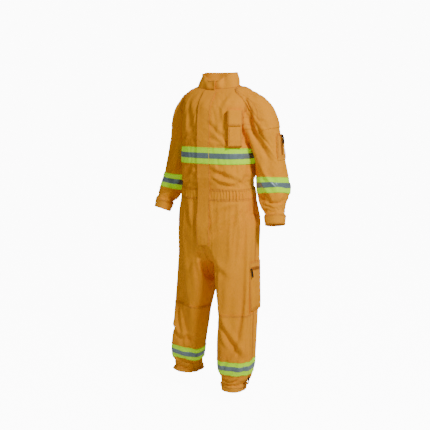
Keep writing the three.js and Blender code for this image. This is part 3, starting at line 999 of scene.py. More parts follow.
def smoother_source(panels, cuts, rounds):
    """A cut-out whose folded places are smoothed, for a stiff doubled strip that skips small folds."""
    bm = cutout(panels, [(p + a * .02, a) for p, a in cuts])
    place, normal = bm.verts.layers.float_vector["place"], bm.verts.layers.float_vector["normal"]
    where = {v: v[place].copy() for v in bm.verts}
    for _ in range(rounds):
        where = {v: (where[v] + sum((where[e.other_vert(v)] for e in v.link_edges), Vector()) / len(v.link_edges)) / 2
                 for v in bm.verts}
    for v in bm.verts:
        pushed = (v[place] - where[v]).dot(v[normal])
        v[place] = where[v] + v[normal] * max(pushed * .6, 0)
    return bm


flap_source = smoother_source(FLAP_PANELS, FLAP_CUTS[:2], 14)


def flap_lift(co):
    """Close to the cloth at the sewn edge, standing off it at the free edge, which waves a little."""
    t = min(max((FLAP_HALF - co.x) / (2 * FLAP_HALF), 0), 1)
    wave = .0011 * math.sin(co.z * 31 + .8) + .0007 * math.sin(co.z * 67 + 2)
    over_slider = .0042 * math.exp(-((co.z - height_z(1.424)) / .022) ** 2 - (co.x / .014) ** 2)
    return .0032 + .0036 * t + wave * t * t + over_slider


flap_bm = cutout(FLAP_PANELS, FLAP_CUTS, flap_source)
flap_area = area_of(flap_bm)
flap = finish_piece(settle(flap_bm, flap_lift), "storm_flap_panel", .0014, 1)
put(flap, None, "shell_cloth", "storm_flap", "storm_flap_sewn_edge", look=TWILL)
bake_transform(flap)


def flap_thread(co):
    return flap_lift(co) + .0006


stitch((FLAP_BODY, "thread"), FLAP_PANELS, Vector((-FLAP_HALF, 0, 0)), RIGHTWARD, FLAP_CUTS[2:], flap_thread,
       (.0045,), flap_source)
stitch((GARMENT, "thread"), FLAP_PANELS, Vector((FLAP_HALF, 0, 0)), LEFTWARD, FLAP_CUTS[2:], flap_thread,
       (.0020,), flap_source)

# %% Closure under the flap
for strip, half, lift, body in (("flap_hook_strip", "hook", None, FLAP_BODY), ("flap_loop_strip", "loop", .0009, GARMENT)):
    source = flap_source if lift is None else None
    strip_cuts = [(Vector((-.031, 0, 0)), RIGHTWARD), (Vector((-.013, 0, 0)), LEFTWARD),
                  (Vector((0, 0, height_z(1.47))), UP), (Vector((0, 0, FLAP_BOTTOM + .016)), DOWN)]
    patch(f"{half}_strip", FLAP_PANELS, strip_cuts, lift or (lambda co: flap_lift(co) - .0015), .0009, HOOK,
          "hook_loop", [strip], body=body, source=source, levels=0)
for name, side in SIDES.items():
    edges = [(Vector((side * .0012, 0, 0)), Vector((-side, 0, 0))), (Vector((side * .0165, 0, 0)), Vector((side, 0, 0))),
             (Vector((0, 0, height_z(1.484))), UP), (Vector((0, 0, height_z(.80))), DOWN)]
    patch(f"zip_cloth_{name}", FLAP_PANELS, edges, -.0016, .0008, ZIP_CLOTH, "zip_tape", [f"zip_tape_{name}"],
          levels=0)

# %% Reflective tape
TAPE_RISE = {"lime": .0016, "silver": .0021}


def tape(name, nodes, panels, middle, along, height, rise=0.0, body=GARMENT, source=None, cuts=(),
         thread_body=GARMENT):
    """A lime band with a silver stripe in the middle of it, cut by planes across the limb."""
    for kind, share in (("lime", 1.0), ("silver", 1 / 3)):
        half = along * (height * share / 2)
        edges = [(middle + half, along), (middle - half, -along), *cuts]
        lift = TAPE_RISE[kind] if not callable(rise) else (lambda co, k=kind: rise(co) + TAPE_RISE[k] - .0006)
        patch(f"{name}_{kind}", panels, edges, lift, .0009, LIME if kind == "lime" else SILVER, f"{kind}_tape",
              [n.format(kind) for n in nodes], body=body, source=source)
    thread = (lambda co: rise(co) + .0016) if callable(rise) else TAPE_RISE["lime"] + .0005
    half = along * (height / 2)
    for point, away in ((middle + half, along), (middle - half, -along)):
        stitch((thread_body, "lime_thread"), panels, point, away, cuts, thread, (.0022,), source)


CHEST = Vector((0, 0, height_z(1.20)))
for part, length in (("front_left", .17), ("front_right", .17), ("back", .40)):
    tape(f"chest_tape_{part}", ["chest_tape_{}_" + part], [f"bodice_{part}"], CHEST, UP, .075)
tape("chest_tape_flap", ["chest_tape_{}_flap"], FLAP_PANELS, CHEST, UP, .075, flap_lift, None,
     flap_source, [(Vector((-FLAP_HALF + .0004, 0, 0)), RIGHTWARD), (Vector((FLAP_HALF - .0004, 0, 0)), LEFTWARD)],
     FLAP_BODY)
for kind in TAPE_RISE:
    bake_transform(pieces[f"chest_tape_flap_{kind}"])
SLEEVE_TAPE = {"left": Vector((.279, .041, height_z(1.083))), "right": Vector((-.281, .036, height_z(1.070)))}
LEG_TAPE = {"left": Vector((.121, -.044, height_z(.215))), "right": Vector((-.213, .056, height_z(.215)))}
for name, side in SIDES.items():
    arm_up = Vector((side * -.11, .09, 1)).normalized()
    tape(f"sleeve_tape_{name}", ["sleeve_tape_{}_" + name], [f"sleeve_{name}"], SLEEVE_TAPE[name], arm_up, .075)
    leg_up = Vector((0, 0, 1)) if name == "left" else Vector((.10, -.06, 1)).normalized()
    tape(f"leg_tape_{name}", ["leg_tape_{}_" + name], [f"trouser_front_{name}", f"trouser_back_{name}"],
         LEG_TAPE[name], leg_up, .068)
print("pieces:", len(pieces), "stitch rows:", sum(len(v) for v in stitch_lines.values()))

# %% Seam stitches
for name, side in SIDES.items():
    point, away = ARMHOLE[name]
    near_cap = [(Vector((side * .14, 0, 0)), Vector((-side, 0, 0))), (Vector((0, 0, height_z(1.262))), DOWN)]
    stitch((GARMENT, "thread"), ["bodice_back", f"bodice_front_{name}"], point, away, near_cap, .0007, DOUBLE)
    cuff_point, cuff_away = CUFFS[name]
    stitch((GARMENT, "thread"), [f"cuff_band_{name}"], cuff_point, cuff_away, [(cuff_point - cuff_away * .03, -cuff_away)], .0016, (.004,))
    stitch((GARMENT, "thread"), [f"cuff_band_{name}"], cuff_point - cuff_away * CUFF_LENGTH, -cuff_away,
           [(cuff_point - cuff_away * .02, cuff_away)], .0016, (.003, .008))
    hem_point, hem_away = HEMS[name]
    stitch((GARMENT, "thread"), [f"trouser_front_{name}", f"trouser_back_{name}"], hem_point, hem_away, [(hem_point + Vector((0, 0, .1)), UP)], .0006, (.022,))
    seam_point, seam_back = leg_seam(name)
    stitch((GARMENT, "thread"), [f"trouser_back_{name}"], seam_point, -seam_back, [], .0006, DOUBLE)
    stitch((GARMENT, "thread"), ["bodice_back"], Vector((0, -.006, 0)), Vector((0, -1, 0)),
           [(Vector((side * .09, 0, 0)), Vector((-side, 0, 0)))], .0006, DOUBLE)
    stitch((GARMENT, "thread"), [f"trouser_front_{name}"], Vector((0, 0, 0)), Vector((-side, 0, 0)),
           [(Vector((0, 0, FLAP_BOTTOM)), UP)], .0006, (.004,))
stitch((GARMENT, "thread"), ["waist_casing", "waist_front"], Vector((0, 0, WAIST[1])), UP, [], lambda co: gather(co) + .0006, (.003, .009))
stitch((GARMENT, "thread"), ["waist_casing", "waist_front"], Vector((0, 0, WAIST[0])), DOWN, [], lambda co: gather(co) + .0006, (.003, .009))
print("stitch rows:", sum(len(v) for v in stitch_lines.values()))

# %% [markdown]
# ## Collar
# The stand-up collar is one doubled sheet that starts behind the wearer's left front, runs round the
# neck, and laps over itself. Its lapping end is the tab that opens.

# %% Collar
COLLAR_START, TAB_SPLIT, COLLAR_END = -9.0, 311.0, 372.0
COLLAR_THICK = .0034
base_loop = []
neck_rim = cutout([p for p in PANELS if p.startswith("bodice") or p == "placket"])
neck_place = neck_rim.verts.layers.float_vector["place"]
for e in neck_rim.edges:
    if e.is_boundary:
        for v in e.verts:
            if abs((v.co - NECK_POINT).dot(NECK_AWAY)) < .003 and abs(v.co.x) < .13:
                where = v[neck_place]
                base_loop.append((math.degrees(math.atan2(where.x, NECK_POINT.y - where.y)) % 360, where.copy()))
neck_rim.free()
base_loop.sort(key=lambda entry: entry[0])
base_turn = np.array([entry[0] for entry in base_loop])
base_at = np.array([tuple(entry[1]) for entry in base_loop])
print("neck rim:", len(base_loop), "half width %.3f" % np.abs(base_at[:, 0]).max(),
      "front %.3f back %.3f" % (base_at[:, 1].min(), base_at[:, 1].max()))


def on_base(turn):
    turn %= 360
    return Vector([np.interp(turn, base_turn, base_at[:, i], period=360) for i in range(3)])


def soft_step(value, low, high):
    t = min(max((value - low) / (high - low), 0), 1)
    return t * t * (3 - 2 * t)


def hump(value, middle, reach):
    return math.exp(-((value - middle) / reach) ** 2)


def collar_place(turn, rise):
    """A point on the collar's outer face: turn in degrees from the front, rise from 0 to 1."""
    low = on_base(turn)
    angle = math.radians(turn)
    front = max(math.cos(angle), 0)
    top = Vector((math.sin(angle) * .081, NECK_POINT.y - .001 - math.cos(angle) * .074, 0))
    top.z = height_z(1.582 - .040 * front ** 2.4)
    lapping = turn > 180
    top.z += (.010 * hump(turn, 318, 13) - .004 * hump(turn, 345, 12)) if lapping else -.006 * hump(turn, 22, 12)
    low = low + Vector((math.sin(angle), -math.cos(angle), 0)) * .0012 + Vector((0, 0, -.0055))
    spot = low.lerp(top, rise)
    out = Vector((math.sin(angle), -math.cos(angle), 0))
    bulge = .0035 * math.sin(math.pi * rise)
    fold = .0020 * math.sin(math.radians(turn * 5 + 30)) * rise * rise
    fold += .0016 * math.sin(math.radians(turn * 9 + 200) + rise * 2) * math.sin(math.pi * rise)
    lap = .0062 * soft_step(turn, 318, 350) if lapping else 0
    flare = .016 * hump(turn, 316, 12) * rise ** 3 if lapping else .009 * hump(turn, 24, 10) * rise
    crease = -.009 * hump(turn, 40, 8) * rise if not lapping else -.004 * hump(turn, 334, 8) * rise * rise
    end_curl = .003 * soft_step(turn, 360, 372) * (.3 + .7 * rise)
    return spot + out * (bulge + fold + lap + flare + crease + end_curl)


def collar_sheet(name, start, stop, rows=26):
    """The collar between two turns, as a closed sheet with rounded upper and free edges."""
    columns = max(int((stop - start) / 2.0), 8)
    spots = [[collar_place(start + (stop - start) * i / columns, j / rows) for j in range(rows + 1)]
             for i in range(columns + 1)]
    bm = bmesh.new()
    grid = [[bm.verts.new(spots[i][j]) for j in range(rows + 1)] for i in range(columns + 1)]
    for i in range(columns):
        for j in range(rows):
            bm.faces.new((grid[i][j], grid[i + 1][j], grid[i + 1][j + 1], grid[i][j + 1]))
    area = sum(f.calc_area() for f in bm.faces)
    obj = solid_sheet(bm, name, COLLAR_THICK)
    return obj, area


def solid_sheet(bm, name, thick, levels=1, bevel=.0006):
    """A closed sheet with its given face outermost and softened edges."""
    bmesh.ops.recalc_face_normals(bm, faces=bm.faces)
    mesh = bpy.data.meshes.new(name)
    bm.to_mesh(mesh)
    bm.free()
    obj = bpy.data.objects.new(name, mesh)
    scene.collection.objects.link(obj)
    wall = obj.modifiers.new("thick", "SOLIDIFY")
    wall.thickness = thick
    wall.offset = -1
    rounding = obj.modifiers.new("round", "BEVEL")
    rounding.width = min(bevel, thick * .3)
    rounding.segments = 2
    rounding.limit_method = "ANGLE"
    rounding.angle_limit = math.radians(50)
    if levels:
        smoother = obj.modifiers.new("smooth", "SUBSURF")
        smoother.levels = smoother.render_levels = levels
    done = evaluated(obj)
    drop(obj)
    done.name = name
    done.shade_smooth()
    obj = bpy.data.objects.new(name, done)
    scene.collection.objects.link(obj)
    return obj


collar, collar_area = collar_sheet("collar_panel", COLLAR_START, TAB_SPLIT)
put(collar, GARMENT, "shell_cloth", "collar_stand", look=TWILL)
tab, tab_area = collar_sheet("collar_tab_panel", TAB_SPLIT, COLLAR_END)
put(tab, None, "shell_cloth", "collar_tab", look=TWILL)
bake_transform(tab)


def collar_line(points, push=.0003):
    """A stitch line through collar turns and rises, pushed off its face."""
    line = []
    for turn, rise in points:
        across = collar_place(turn + 1, rise) - collar_place(turn - 1, rise)
        upward = collar_place(turn, min(rise + .02, 1.02)) - collar_place(turn, rise - .02)
        line.append(collar_place(turn, rise) + across.cross(upward).normalized() * push)
    return line


def turns(start, stop, step=2.0):
    count = max(int(abs(stop - start) / step), 2)
    return [start + (stop - start) * i / count for i in range(count + 1)]


for rise in (.93, .10):
    stitch_lines.setdefault((GARMENT, "thread"), []).append(collar_line([(t, rise) for t in turns(COLLAR_START + 3, TAB_SPLIT)]))
    stitch_lines.setdefault(("collar_tab", "thread"), []).append(
        collar_line([(t, rise) for t in turns(TAB_SPLIT + 8, COLLAR_END - 2.6)]))
stitch_lines[("collar_tab", "thread")].append(collar_line([(COLLAR_END - 2.6, .10 + .83 * i / 20) for i in range(21)]))

# %% [markdown]
# ## Pockets
# A pocket is a grid whose edge lies on the cloth, whose side walls fold inwards once like bellows,
# and whose face stands off the cloth.

# %% Pocket tools
class Face:
    """A flat reference face beside the cloth: across, up and out directions about a middle."""

    def __init__(self, middle, out, half_width, half_height, up=Vector((0, 0, 1))):
        self.out = Vector(out).normalized()
        self.up = (up - self.out * up.dot(self.out)).normalized()
        self.across = self.up.cross(self.out)
        self.middle = Vector(middle)
        self.half_width, self.half_height = half_width, half_height
        samples = [on_cloth(self.at(u, v))[0] for u in (-.6, 0, .6) for v in (-.8, -.4, 0, .4, .8)]
        self.stand = sorted((s - self.middle).dot(self.out) for s in samples)[-4]

    def at(self, u, v):
        return self.middle + self.across * (u * self.half_width) + self.up * (v * self.half_height)

    def off(self, u, v, depth):
        """A point that is on the cloth at depth 0 and on the flat face at greater depth."""
        spot, normal = on_cloth(self.at(u, v))
        flat = self.at(u, v) + self.out * self.stand
        share = soft_step(depth, 0, .008)
        return (spot + normal * .0008).lerp(flat, share) + self.out * depth


def bellows(face, name, depth, pleat, wall=.010, cell=.0028, sag=.0, belly=.002):
    """The pocket's outside as an open grid, thickened inwards."""
    width, height = face.half_width, face.half_height
    columns, rows = int(2 * (width + wall) / cell), int(2 * (height + wall) / cell)
    bm = bmesh.new()
    grid = []
    for i in range(columns + 1):
        column = []
        for j in range(rows + 1):
            gu = (2 * i / columns - 1) * (width + wall)
            gv = (2 * j / rows - 1) * (height + wall)
            eu, ev = width + wall - abs(gu), height + wall - abs(gv)

            def inset(edge):
                if edge < wall:
                    return pleat * math.sin(math.pi * edge / wall)
                return edge - wall

            u = math.copysign(width - inset(eu), gu)
            v = math.copysign(height - inset(ev), gv)
            lift = min(soft_step(eu, -.2 * wall, wall), soft_step(ev, -.2 * wall, wall))
            crown = (1 - (u / width) ** 2) * (1 - (v / height) ** 4)
            swell = 1 + sag * -(v / height)
            off = depth * lift * swell + belly * crown + .0006 * math.sin(gv * 85 + gu * 40) * crown
            column.append(bm.verts.new(face.off(u / width, v / height, off)))
        grid.append(column)
    for i in range(columns):
        for j in range(rows):
            bm.faces.new((grid[i][j], grid[i + 1][j], grid[i + 1][j + 1], grid[i][j + 1]))
    bm.normal_update()
    facing = sum((f.normal * f.calc_area() for f in bm.faces), Vector())
    if facing.dot(face.out) < 0:
        bmesh.ops.reverse_faces(bm, faces=bm.faces)
    return finish_piece(bm, name, .0016, 1)


def face_line(face, depth, points):
    return [face.off(u, v, depth(u, v) if callable(depth) else depth) for u, v in points]


def straight(a, b, count=24):
    return [(a[0] + (b[0] - a[0]) * i / count, a[1] + (b[1] - a[1]) * i / count) for i in range(count + 1)]


def crowned(depth, belly, sag=0.0, push=.0006):
    return lambda u, v: depth * (1 - sag * v) + belly * (1 - u * u) * (1 - v ** 4) + push


def middle_of(node):
    low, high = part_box(node)
    return (Vector(low) + Vector(high)) / 2, Vector(high) - Vector(low)


# %% Chest pocket
CHEST_TURN = math.radians(44)
chest_out = Vector((math.sin(CHEST_TURN), -math.cos(CHEST_TURN), 0))
chest = Face((.143, -.092, height_z(1.325)), chest_out, .034, .082)
CHEST_DEEP, CHEST_BELLY = .017, .003
pocket = bellows(chest, "chest_pocket_bag", CHEST_DEEP, .0050, wall=.016, sag=.10, belly=CHEST_BELLY)
put(pocket, GARMENT, "shell_cloth", "chest_pocket_body", look=TWILL)
lid_low, lid_top, lid_wide = .16, 1.04, 1.07


def lid_spot(u, s):
    """The flap from its sewn top edge at s 0, over the pocket's top, to its lower edge at s 1."""
    if s < .22:
        t = s / .22
        v, depth = lid_top - .02 * t, .0015 + (CHEST_DEEP + .0045 - .0015) * soft_step(t, -.15, 1)
    else:
        t = (s - .22) / .78
        v, depth = lid_top - .02 - (lid_top - .02 - lid_low) * t, CHEST_DEEP + .0045 + .0035 * t * t
    droop = .0075 * abs(u / lid_wide) ** 5 * soft_step(s, .1, .3)
    wave = .0010 * math.sin(u * 3.1 + 1) * s
    spot = chest.at(u, v) + chest.out * (chest.stand + depth - droop + wave)
    if s < .22:
        start = on_cloth(chest.at(u, lid_top))[0] + chest.out * .0014
        spot = start.lerp(spot, soft_step(s, 0, .2))
    return spot


bm = bmesh.new()
lid_columns, lid_rows = 26, 34
grid = []
for i in range(lid_columns + 1):
    u = (2 * i / lid_columns - 1) * lid_wide
    corner_cut = .10 * soft_step(abs(u), lid_wide * .80, lid_wide)
    grid.append([bm.verts.new(lid_spot(u, (1 - corner_cut) * j / lid_rows)) for j in range(lid_rows + 1)])
for i in range(lid_columns):
    for j in range(lid_rows):
        bm.faces.new((grid[i][j], grid[i][j + 1], grid[i + 1][j + 1], grid[i + 1][j]))
bm.normal_update()
if sum((f.normal * f.calc_area() for f in bm.faces), Vector()).dot(chest.out) < 0:
    bmesh.ops.reverse_faces(bm, faces=bm.faces)
lid_area = area_of(bm)
lid = finish_piece(bm, "chest_pocket_lid", .0020, 1)
put(lid, "chest_pocket_flap", "shell_cloth", "chest_pocket_flap", look=TWILL)
lid_rows_of = stitch_lines.setdefault(("chest_pocket_flap", "thread"), [])
for inset in (.08, .20):
    edge = lid_wide - inset
    lid_rows_of.append([lid_spot(edge * k, 1 - inset * .42) + chest.out * .0005 for k in np.linspace(-1, 1, 30)])
    for side in (-1, 1):
        lid_rows_of.append([lid_spot(side * edge, s) + chest.out * .0005 for s in np.linspace(.26, 1 - inset * .42, 30)])
garment_rows = stitch_lines[(GARMENT, "thread")]
for u in (.93, .76, -.93, -.76):
    garment_rows.append(face_line(chest, crowned(CHEST_DEEP, CHEST_BELLY, .10), straight((u, -.97), (u, .20), 40)))
garment_rows.append(face_line(chest, crowned(CHEST_DEEP, CHEST_BELLY, .10), straight((-.93, -.96), (.93, -.96))))

# %% Thigh and sleeve pockets
thigh_middle, thigh_size = middle_of("thigh_pocket_body")
thigh = Face((.205, -.010, thigh_middle.z), (1, -.02, .05), .053, thigh_size.z / 2)
THIGH_DEEP, THIGH_BELLY = .0034, .0030
pocket = bellows(thigh, "thigh_pocket_bag", THIGH_DEEP, .0006, wall=.006, sag=.15, belly=THIGH_BELLY)
put(pocket, GARMENT, "shell_cloth", "thigh_pocket_body", look=TWILL)
thigh_skin = crowned(THIGH_DEEP, THIGH_BELLY, .15)
sleeve_middle, sleeve_size = middle_of("sleeve_pocket_body")
sleeve = Face((.325, .042, sleeve_middle.z), (1, -.06, .0), .037, sleeve_size.z / 2)
SLEEVE_DEEP, SLEEVE_BELLY = .0026, .0016
pocket = bellows(sleeve, "sleeve_pocket_bag", SLEEVE_DEEP, .0008, wall=.005, sag=.25, belly=SLEEVE_BELLY)
put(pocket, GARMENT, "shell_cloth", "sleeve_pocket_body", look=TWILL)
sleeve_skin = crowned(SLEEVE_DEEP, SLEEVE_BELLY, .25)
for face, skin, step in ((thigh, thigh_skin, .12), (sleeve, sleeve_skin, .15)):
    for inset in (.06, .06 + step):
        e, f = 1 - inset, 1 - inset * face.half_width / face.half_height
        for a, b in (((-e, -f), (e, -f)), ((e, -f), (e, f)), ((e, f), (-e, f)), ((-e, f), (-e, -f))):
            garment_rows.append(face_line(face, skin, straight(a, b, 30)))

# %% [markdown]
# ## Zips and pullers
# Each small zip is a strip of tape with a fine coil of teeth. Its slider and cloth puller are
# built at the CAD slider's place.

# %% Zip strips
coil_lines = {}


def strip_between(points, outs, half, name, look, slot, nodes, body=GARMENT, thick=.0010):
    """A narrow cloth strip along points, facing outs, with its width across the run."""
    bm = bmesh.new()
    rails = []
    for k, (spot, out) in enumerate(zip(points, outs)):
        ahead = (points[min(k + 1, len(points) - 1)] - points[max(k - 1, 0)]).normalized()
        across = ahead.cross(out).normalized()
        rails.append([bm.verts.new(spot + across * half * t + out * (.0004 * (1 - t * t))) for t in (-1, -.5, 0, .5, 1)])
    for a, b in zip(rails, rails[1:]):
        for k in range(4):
            bm.faces.new((a[k], a[k + 1], b[k + 1], b[k]))
    bm.normal_update()
    if sum((f.normal for f in bm.faces), Vector()).dot(outs[len(outs) // 2]) < 0:
        bmesh.ops.reverse_faces(bm, faces=bm.faces)
    area = area_of(bm)
    strip = finish_piece(bm, name, thick, 1)
    put(strip, body, slot, *nodes, look=look)
    return strip


def face_zip(face, skin, a, b, name, node_name, half=.0062):
    run = straight(a, b, 30)
    spots = [face.off(u, v, skin(u, v) + .0005) for u, v in run]
    strip_between(spots, [face.out] * len(spots), half, name, ZIP_CLOTH, "zip_tape", [node_name])
    coil_lines.setdefault(GARMENT, []).append([s + face.out * .0013 for s in spots])
    for side in (-1, 1):
        sink = face.up if abs(a[0] - b[0]) > abs(a[1] - b[1]) else face.across
        garment_rows.append([s + sink * side * (half + .0022) + face.out * .0003 for s in spots])
    return spots


zip_v = (height_z(.667) - thigh_middle.z) / thigh.half_height
thigh_spots = face_zip(thigh, thigh_skin, (-.86, zip_v + .02), (.86, zip_v - .02), "thigh_zip_strip", "thigh_pocket_zip")
sleeve_spots = face_zip(sleeve, sleeve_skin, (-.12, .88), (-.12, -.86), "sleeve_zip_strip", "sleeve_pocket_zip")
ankle_spots, ankle_outs = {}, {}
for name, side in SIDES.items():
    middle, size = middle_of(f"ankle_zip_{name}")
    low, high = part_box(f"ankle_zip_{name}")
    out = Vector((side, -.25 if name == "left" else .15, 0)).normalized()
    run = [Vector((middle.x, middle.y, low[2] + .004 + (high[2] - low[2] - .006) * k / 24)) for k in range(25)]
    placed = [on_cloth(p + out * .004, .0012) for p in run]
    spots, outs = [p for p, _ in placed], [n for _, n in placed]
    for _ in range(3):
        spots = [spots[0]] + [(a + 2 * b + c) / 4 for a, b, c in zip(spots, spots[1:], spots[2:])] + [spots[-1]]
        outs = [outs[0]] + [((a + 2 * b + c) / 4).normalized() for a, b, c in zip(outs, outs[1:], outs[2:])] + [outs[-1]]
    strip_between(spots, outs, .0062, f"ankle_zip_strip_{name}", ZIP_CLOTH, "zip_tape", [f"ankle_zip_{name}"])
    coil_lines[GARMENT].append([s + o * .0013 for s, o in zip(spots, outs)])
    ankle_spots[name], ankle_outs[name] = spots, outs

# %% Sliders and pullers
def rounded_block(bm, middle, axes, sizes, soft, taper=1.0):
    """A softened block; axes are its across, along and out directions."""
    made = bmesh.ops.create_cube(bm, size=1.0)["verts"]
    for v in made:
        x, y, z = v.co
        x *= 1 + (taper - 1) * (y + .5)
        v.co = middle + axes[0] * (x * sizes[0]) + axes[1] * (y * sizes[1]) + axes[2] * (z * sizes[2])
    edges = {e for v in made for e in v.link_edges}
    bmesh.ops.bevel(bm, geom=list(edges), offset=soft, segments=3, affect="EDGES", profile=.6)


def slider_piece(name, spot, out, run, body, node_name, look, slot, scale=1.0, pull=.026, pull_wide=.0072, deep=1.0):
    """A slider body on the teeth, and its puller hanging from a small bridge."""
    out = Vector(out).normalized()
    run = (Vector(run) - out * Vector(run).dot(out)).normalized()
    across = run.cross(out)
    bm = bmesh.new()
    rounded_block(bm, spot + out * (.0020 * deep), (across, run, out), (.0078 * scale, .0100 * scale, .0030 * deep), .0008 * deep, .78)
    rounded_block(bm, spot + out * (.0042 * deep), (across, run, out), (.0026 * scale, .0074 * scale, .0022 * deep), .0006 * deep)
    hang = Vector((0, 0, -1))
    hang = (hang - out * hang.dot(out) + out * (.10 if deep == 1 else 0)).normalized()
    wide = hang.cross(out).normalized()
    face_out = wide.cross(hang).normalized() * (1 if wide.cross(hang).dot(out) > 0 else -1)
    start = spot + out * (.0056 * deep)
    rounded_block(bm, start + hang * (.0035 * scale), (wide, hang, face_out), (.0042 * scale, .0090 * scale, .0016 * deep), .0005 * deep)
    rounded_block(bm, start + hang * (.0060 * scale + pull / 2), (wide, hang, face_out), (pull_wide, pull, .0026 * deep), .0009 * deep, 1.12)
    for k in range(3):
        ridge = start + hang * (.0060 * scale + pull * (.45 + .17 * k)) + face_out * (.0013 * deep)
        rounded_block(bm, ridge, (wide, hang, face_out), (pull_wide * .7, .0016 * deep, .0010 * deep), .0003 * deep)
    bmesh.ops.recalc_face_normals(bm, faces=bm.faces)
    mesh = bpy.data.meshes.new(name)
    bm.to_mesh(mesh)
    bm.free()
    obj = bpy.data.objects.new(name, mesh)
    scene.collection.objects.link(obj)
    obj.data.shade_smooth()
    return put(obj, body, slot, node_name, look=look)


def run_of(spots, index):
    return (spots[min(index + 1, len(spots) - 1)] - spots[max(index - 1, 0)]).normalized()


ANKLE_WAYS = {"left": ((-.227, -.032, -.973), .055), "right": ((-.073, .073, -.995), .050)}


def clear_seat(name, spots, index, out, way, travel):
    """The slider's seat, raised so that its straight way stays above the curved strip."""
    rise = 0.0
    for step in range(13):
        here = spots[index] + Vector(way) * (travel * step / 12)
        near = min(spots, key=lambda spot: (spot - here).length)
        rise = max(rise, (near - here).dot(out))
    print(f"{name} seat raised {rise * 1000:.1f} mm")
    return spots[index] + out * min(rise, .004)


seat = clear_seat("thigh slider", thigh_spots, 2, thigh.out, (0, 1, 0), .062)
slider_piece("thigh_zip_puller", seat, thigh.out, run_of(thigh_spots, 2), "thigh_pocket_slider",
             "thigh_pocket_slider", BLACK, "black_puller", pull=.030)
seat = clear_seat("sleeve slider", sleeve_spots, 4, sleeve.out, (0, 0, -1), .060)
slider_piece("sleeve_zip_puller", seat, sleeve.out, run_of(sleeve_spots, 4), "sleeve_pocket_slider",
             "sleeve_pocket_slider", BLACK, "black_puller", pull=.028)
for name in SIDES:
    spots, outs = ankle_spots[name], ankle_outs[name]
    seat = clear_seat(f"{name} ankle slider", spots, 20, outs[20], *ANKLE_WAYS[name])
    slider_piece(f"ankle_zip_puller_{name}", seat, outs[20], run_of(spots, 20), f"ankle_slider_{name}",
                 f"ankle_slider_{name}", BLACK, "black_puller", pull=.022)
front_spot, front_out = on_cloth((0, -.130, height_z(1.428)), -.0012)
slider_piece("front_zip_slider", front_spot, front_out, (0, 0, 1), "front_slider", "front_slider", BRASS, "brass", scale=.72,
             pull=.014, pull_wide=.0050, deep=.55)
chain_spots = [on_cloth((0, -.13, z), .0002)[0] for z in np.linspace(height_z(.806), height_z(1.478), 220)]
coil_lines["front"] = [chain_spots]
print("pieces:", len(pieces))

# %% [markdown]
# ## Repeats with Geometry Nodes
# One node group lays a small element along curves at an even spacing: thread stitches, zip coils and
# the front chain's teeth.

# %% Repeat group
def element(name, segments, radius, length, flat=1.0):
    """A short rounded bar along local Z, used as one stitch or tooth."""
    bm = bmesh.new()
    rings = [(-.5, .45), (-.22, 1.0), (.22, 1.0), (.5, .45)]
    rows = []
    for t, share in rings:
        rows.append([bm.verts.new((math.cos(a) * radius * share, math.sin(a) * radius * share * flat, t * length))
                     for a in np.linspace(0, 2 * math.pi, segments, endpoint=False)])
    for a, b in zip(rows, rows[1:]):
        for k in range(segments):
            bm.faces.new((a[k], a[(k + 1) % segments], b[(k + 1) % segments], b[k]))
    bm.faces.new(rows[0][::-1])
    bm.faces.new(rows[-1])
    mesh = bpy.data.meshes.new(name)
    bm.to_mesh(mesh)
    bm.free()
    return bpy.data.objects.new(name, mesh)


def repeat_group():
    group = bpy.data.node_groups.new("Repeat along line", "GeometryNodeTree")
    face = group.interface
    face.new_socket("Geometry", in_out="INPUT", socket_type="NodeSocketGeometry")
    sockets = {}
    for name, kind, value in (("Element", "NodeSocketObject", None), ("Spacing", "NodeSocketFloat", .0034),
                              ("Size variation", "NodeSocketFloat", .12), ("Seed", "NodeSocketInt", 7),
                              ("Turn across", "NodeSocketBool", False), ("Material", "NodeSocketMaterial", None)):
        socket = face.new_socket(name, in_out="INPUT", socket_type=kind)
        if value is not None:
            socket.default_value = value
        sockets[name] = socket.identifier
    face.new_socket("Geometry", in_out="OUTPUT", socket_type="NodeSocketGeometry")
    add, link = group.nodes.new, group.links.new
    source, sink = add("NodeGroupInput"), add("NodeGroupOutput")
    curve = add("GeometryNodeMeshToCurve")
    resample = add("GeometryNodeResampleCurve")
    resample.mode = "LENGTH"
    tangent = add("GeometryNodeInputTangent")
    align = add("FunctionNodeAlignRotationToVector")
    align.axis = "Z"
    cross = add("GeometryNodeInputNormal")
    switch = add("GeometryNodeSwitch")
    switch.input_type = "VECTOR"
    info = add("GeometryNodeObjectInfo")
    info.transform_space = "ORIGINAL"
    place = add("GeometryNodeInstanceOnPoints")
    scale = add("FunctionNodeRandomValue")
    low, high = maths_pair(group, source.outputs["Size variation"])
    realize = add("GeometryNodeRealizeInstances")
    paint = add("GeometryNodeSetMaterial")
    link(source.outputs["Geometry"], curve.inputs["Mesh"])
    link(curve.outputs["Curve"], resample.inputs["Curve"])
    link(source.outputs["Spacing"], resample.inputs["Length"])
    link(source.outputs["Turn across"], switch.inputs["Switch"])
    link(tangent.outputs[0], switch.inputs["False"])
    link(cross.outputs[0], switch.inputs["True"])
    link(switch.outputs[0], align.inputs["Vector"])
    link(source.outputs["Element"], info.inputs["Object"])
    link(resample.outputs["Curve"], place.inputs["Points"])
    link(info.outputs["Geometry"], place.inputs["Instance"])
    link(align.outputs[0], place.inputs["Rotation"])
    link(low, scale.inputs[2])
    link(high, scale.inputs[3])
    link(source.outputs["Seed"], scale.inputs["Seed"])
    link(scale.outputs[1], place.inputs["Scale"])
    link(place.outputs[0], realize.inputs[0])
    link(realize.outputs[0], paint.inputs["Geometry"])
    link(source.outputs["Material"], paint.inputs["Material"])
    link(paint.outputs[0], sink.inputs["Geometry"])
    return group, sockets


def maths_pair(group, spread):
    return maths(group, "SUBTRACT", 1.0, spread), maths(group, "ADD", 1.0, spread)


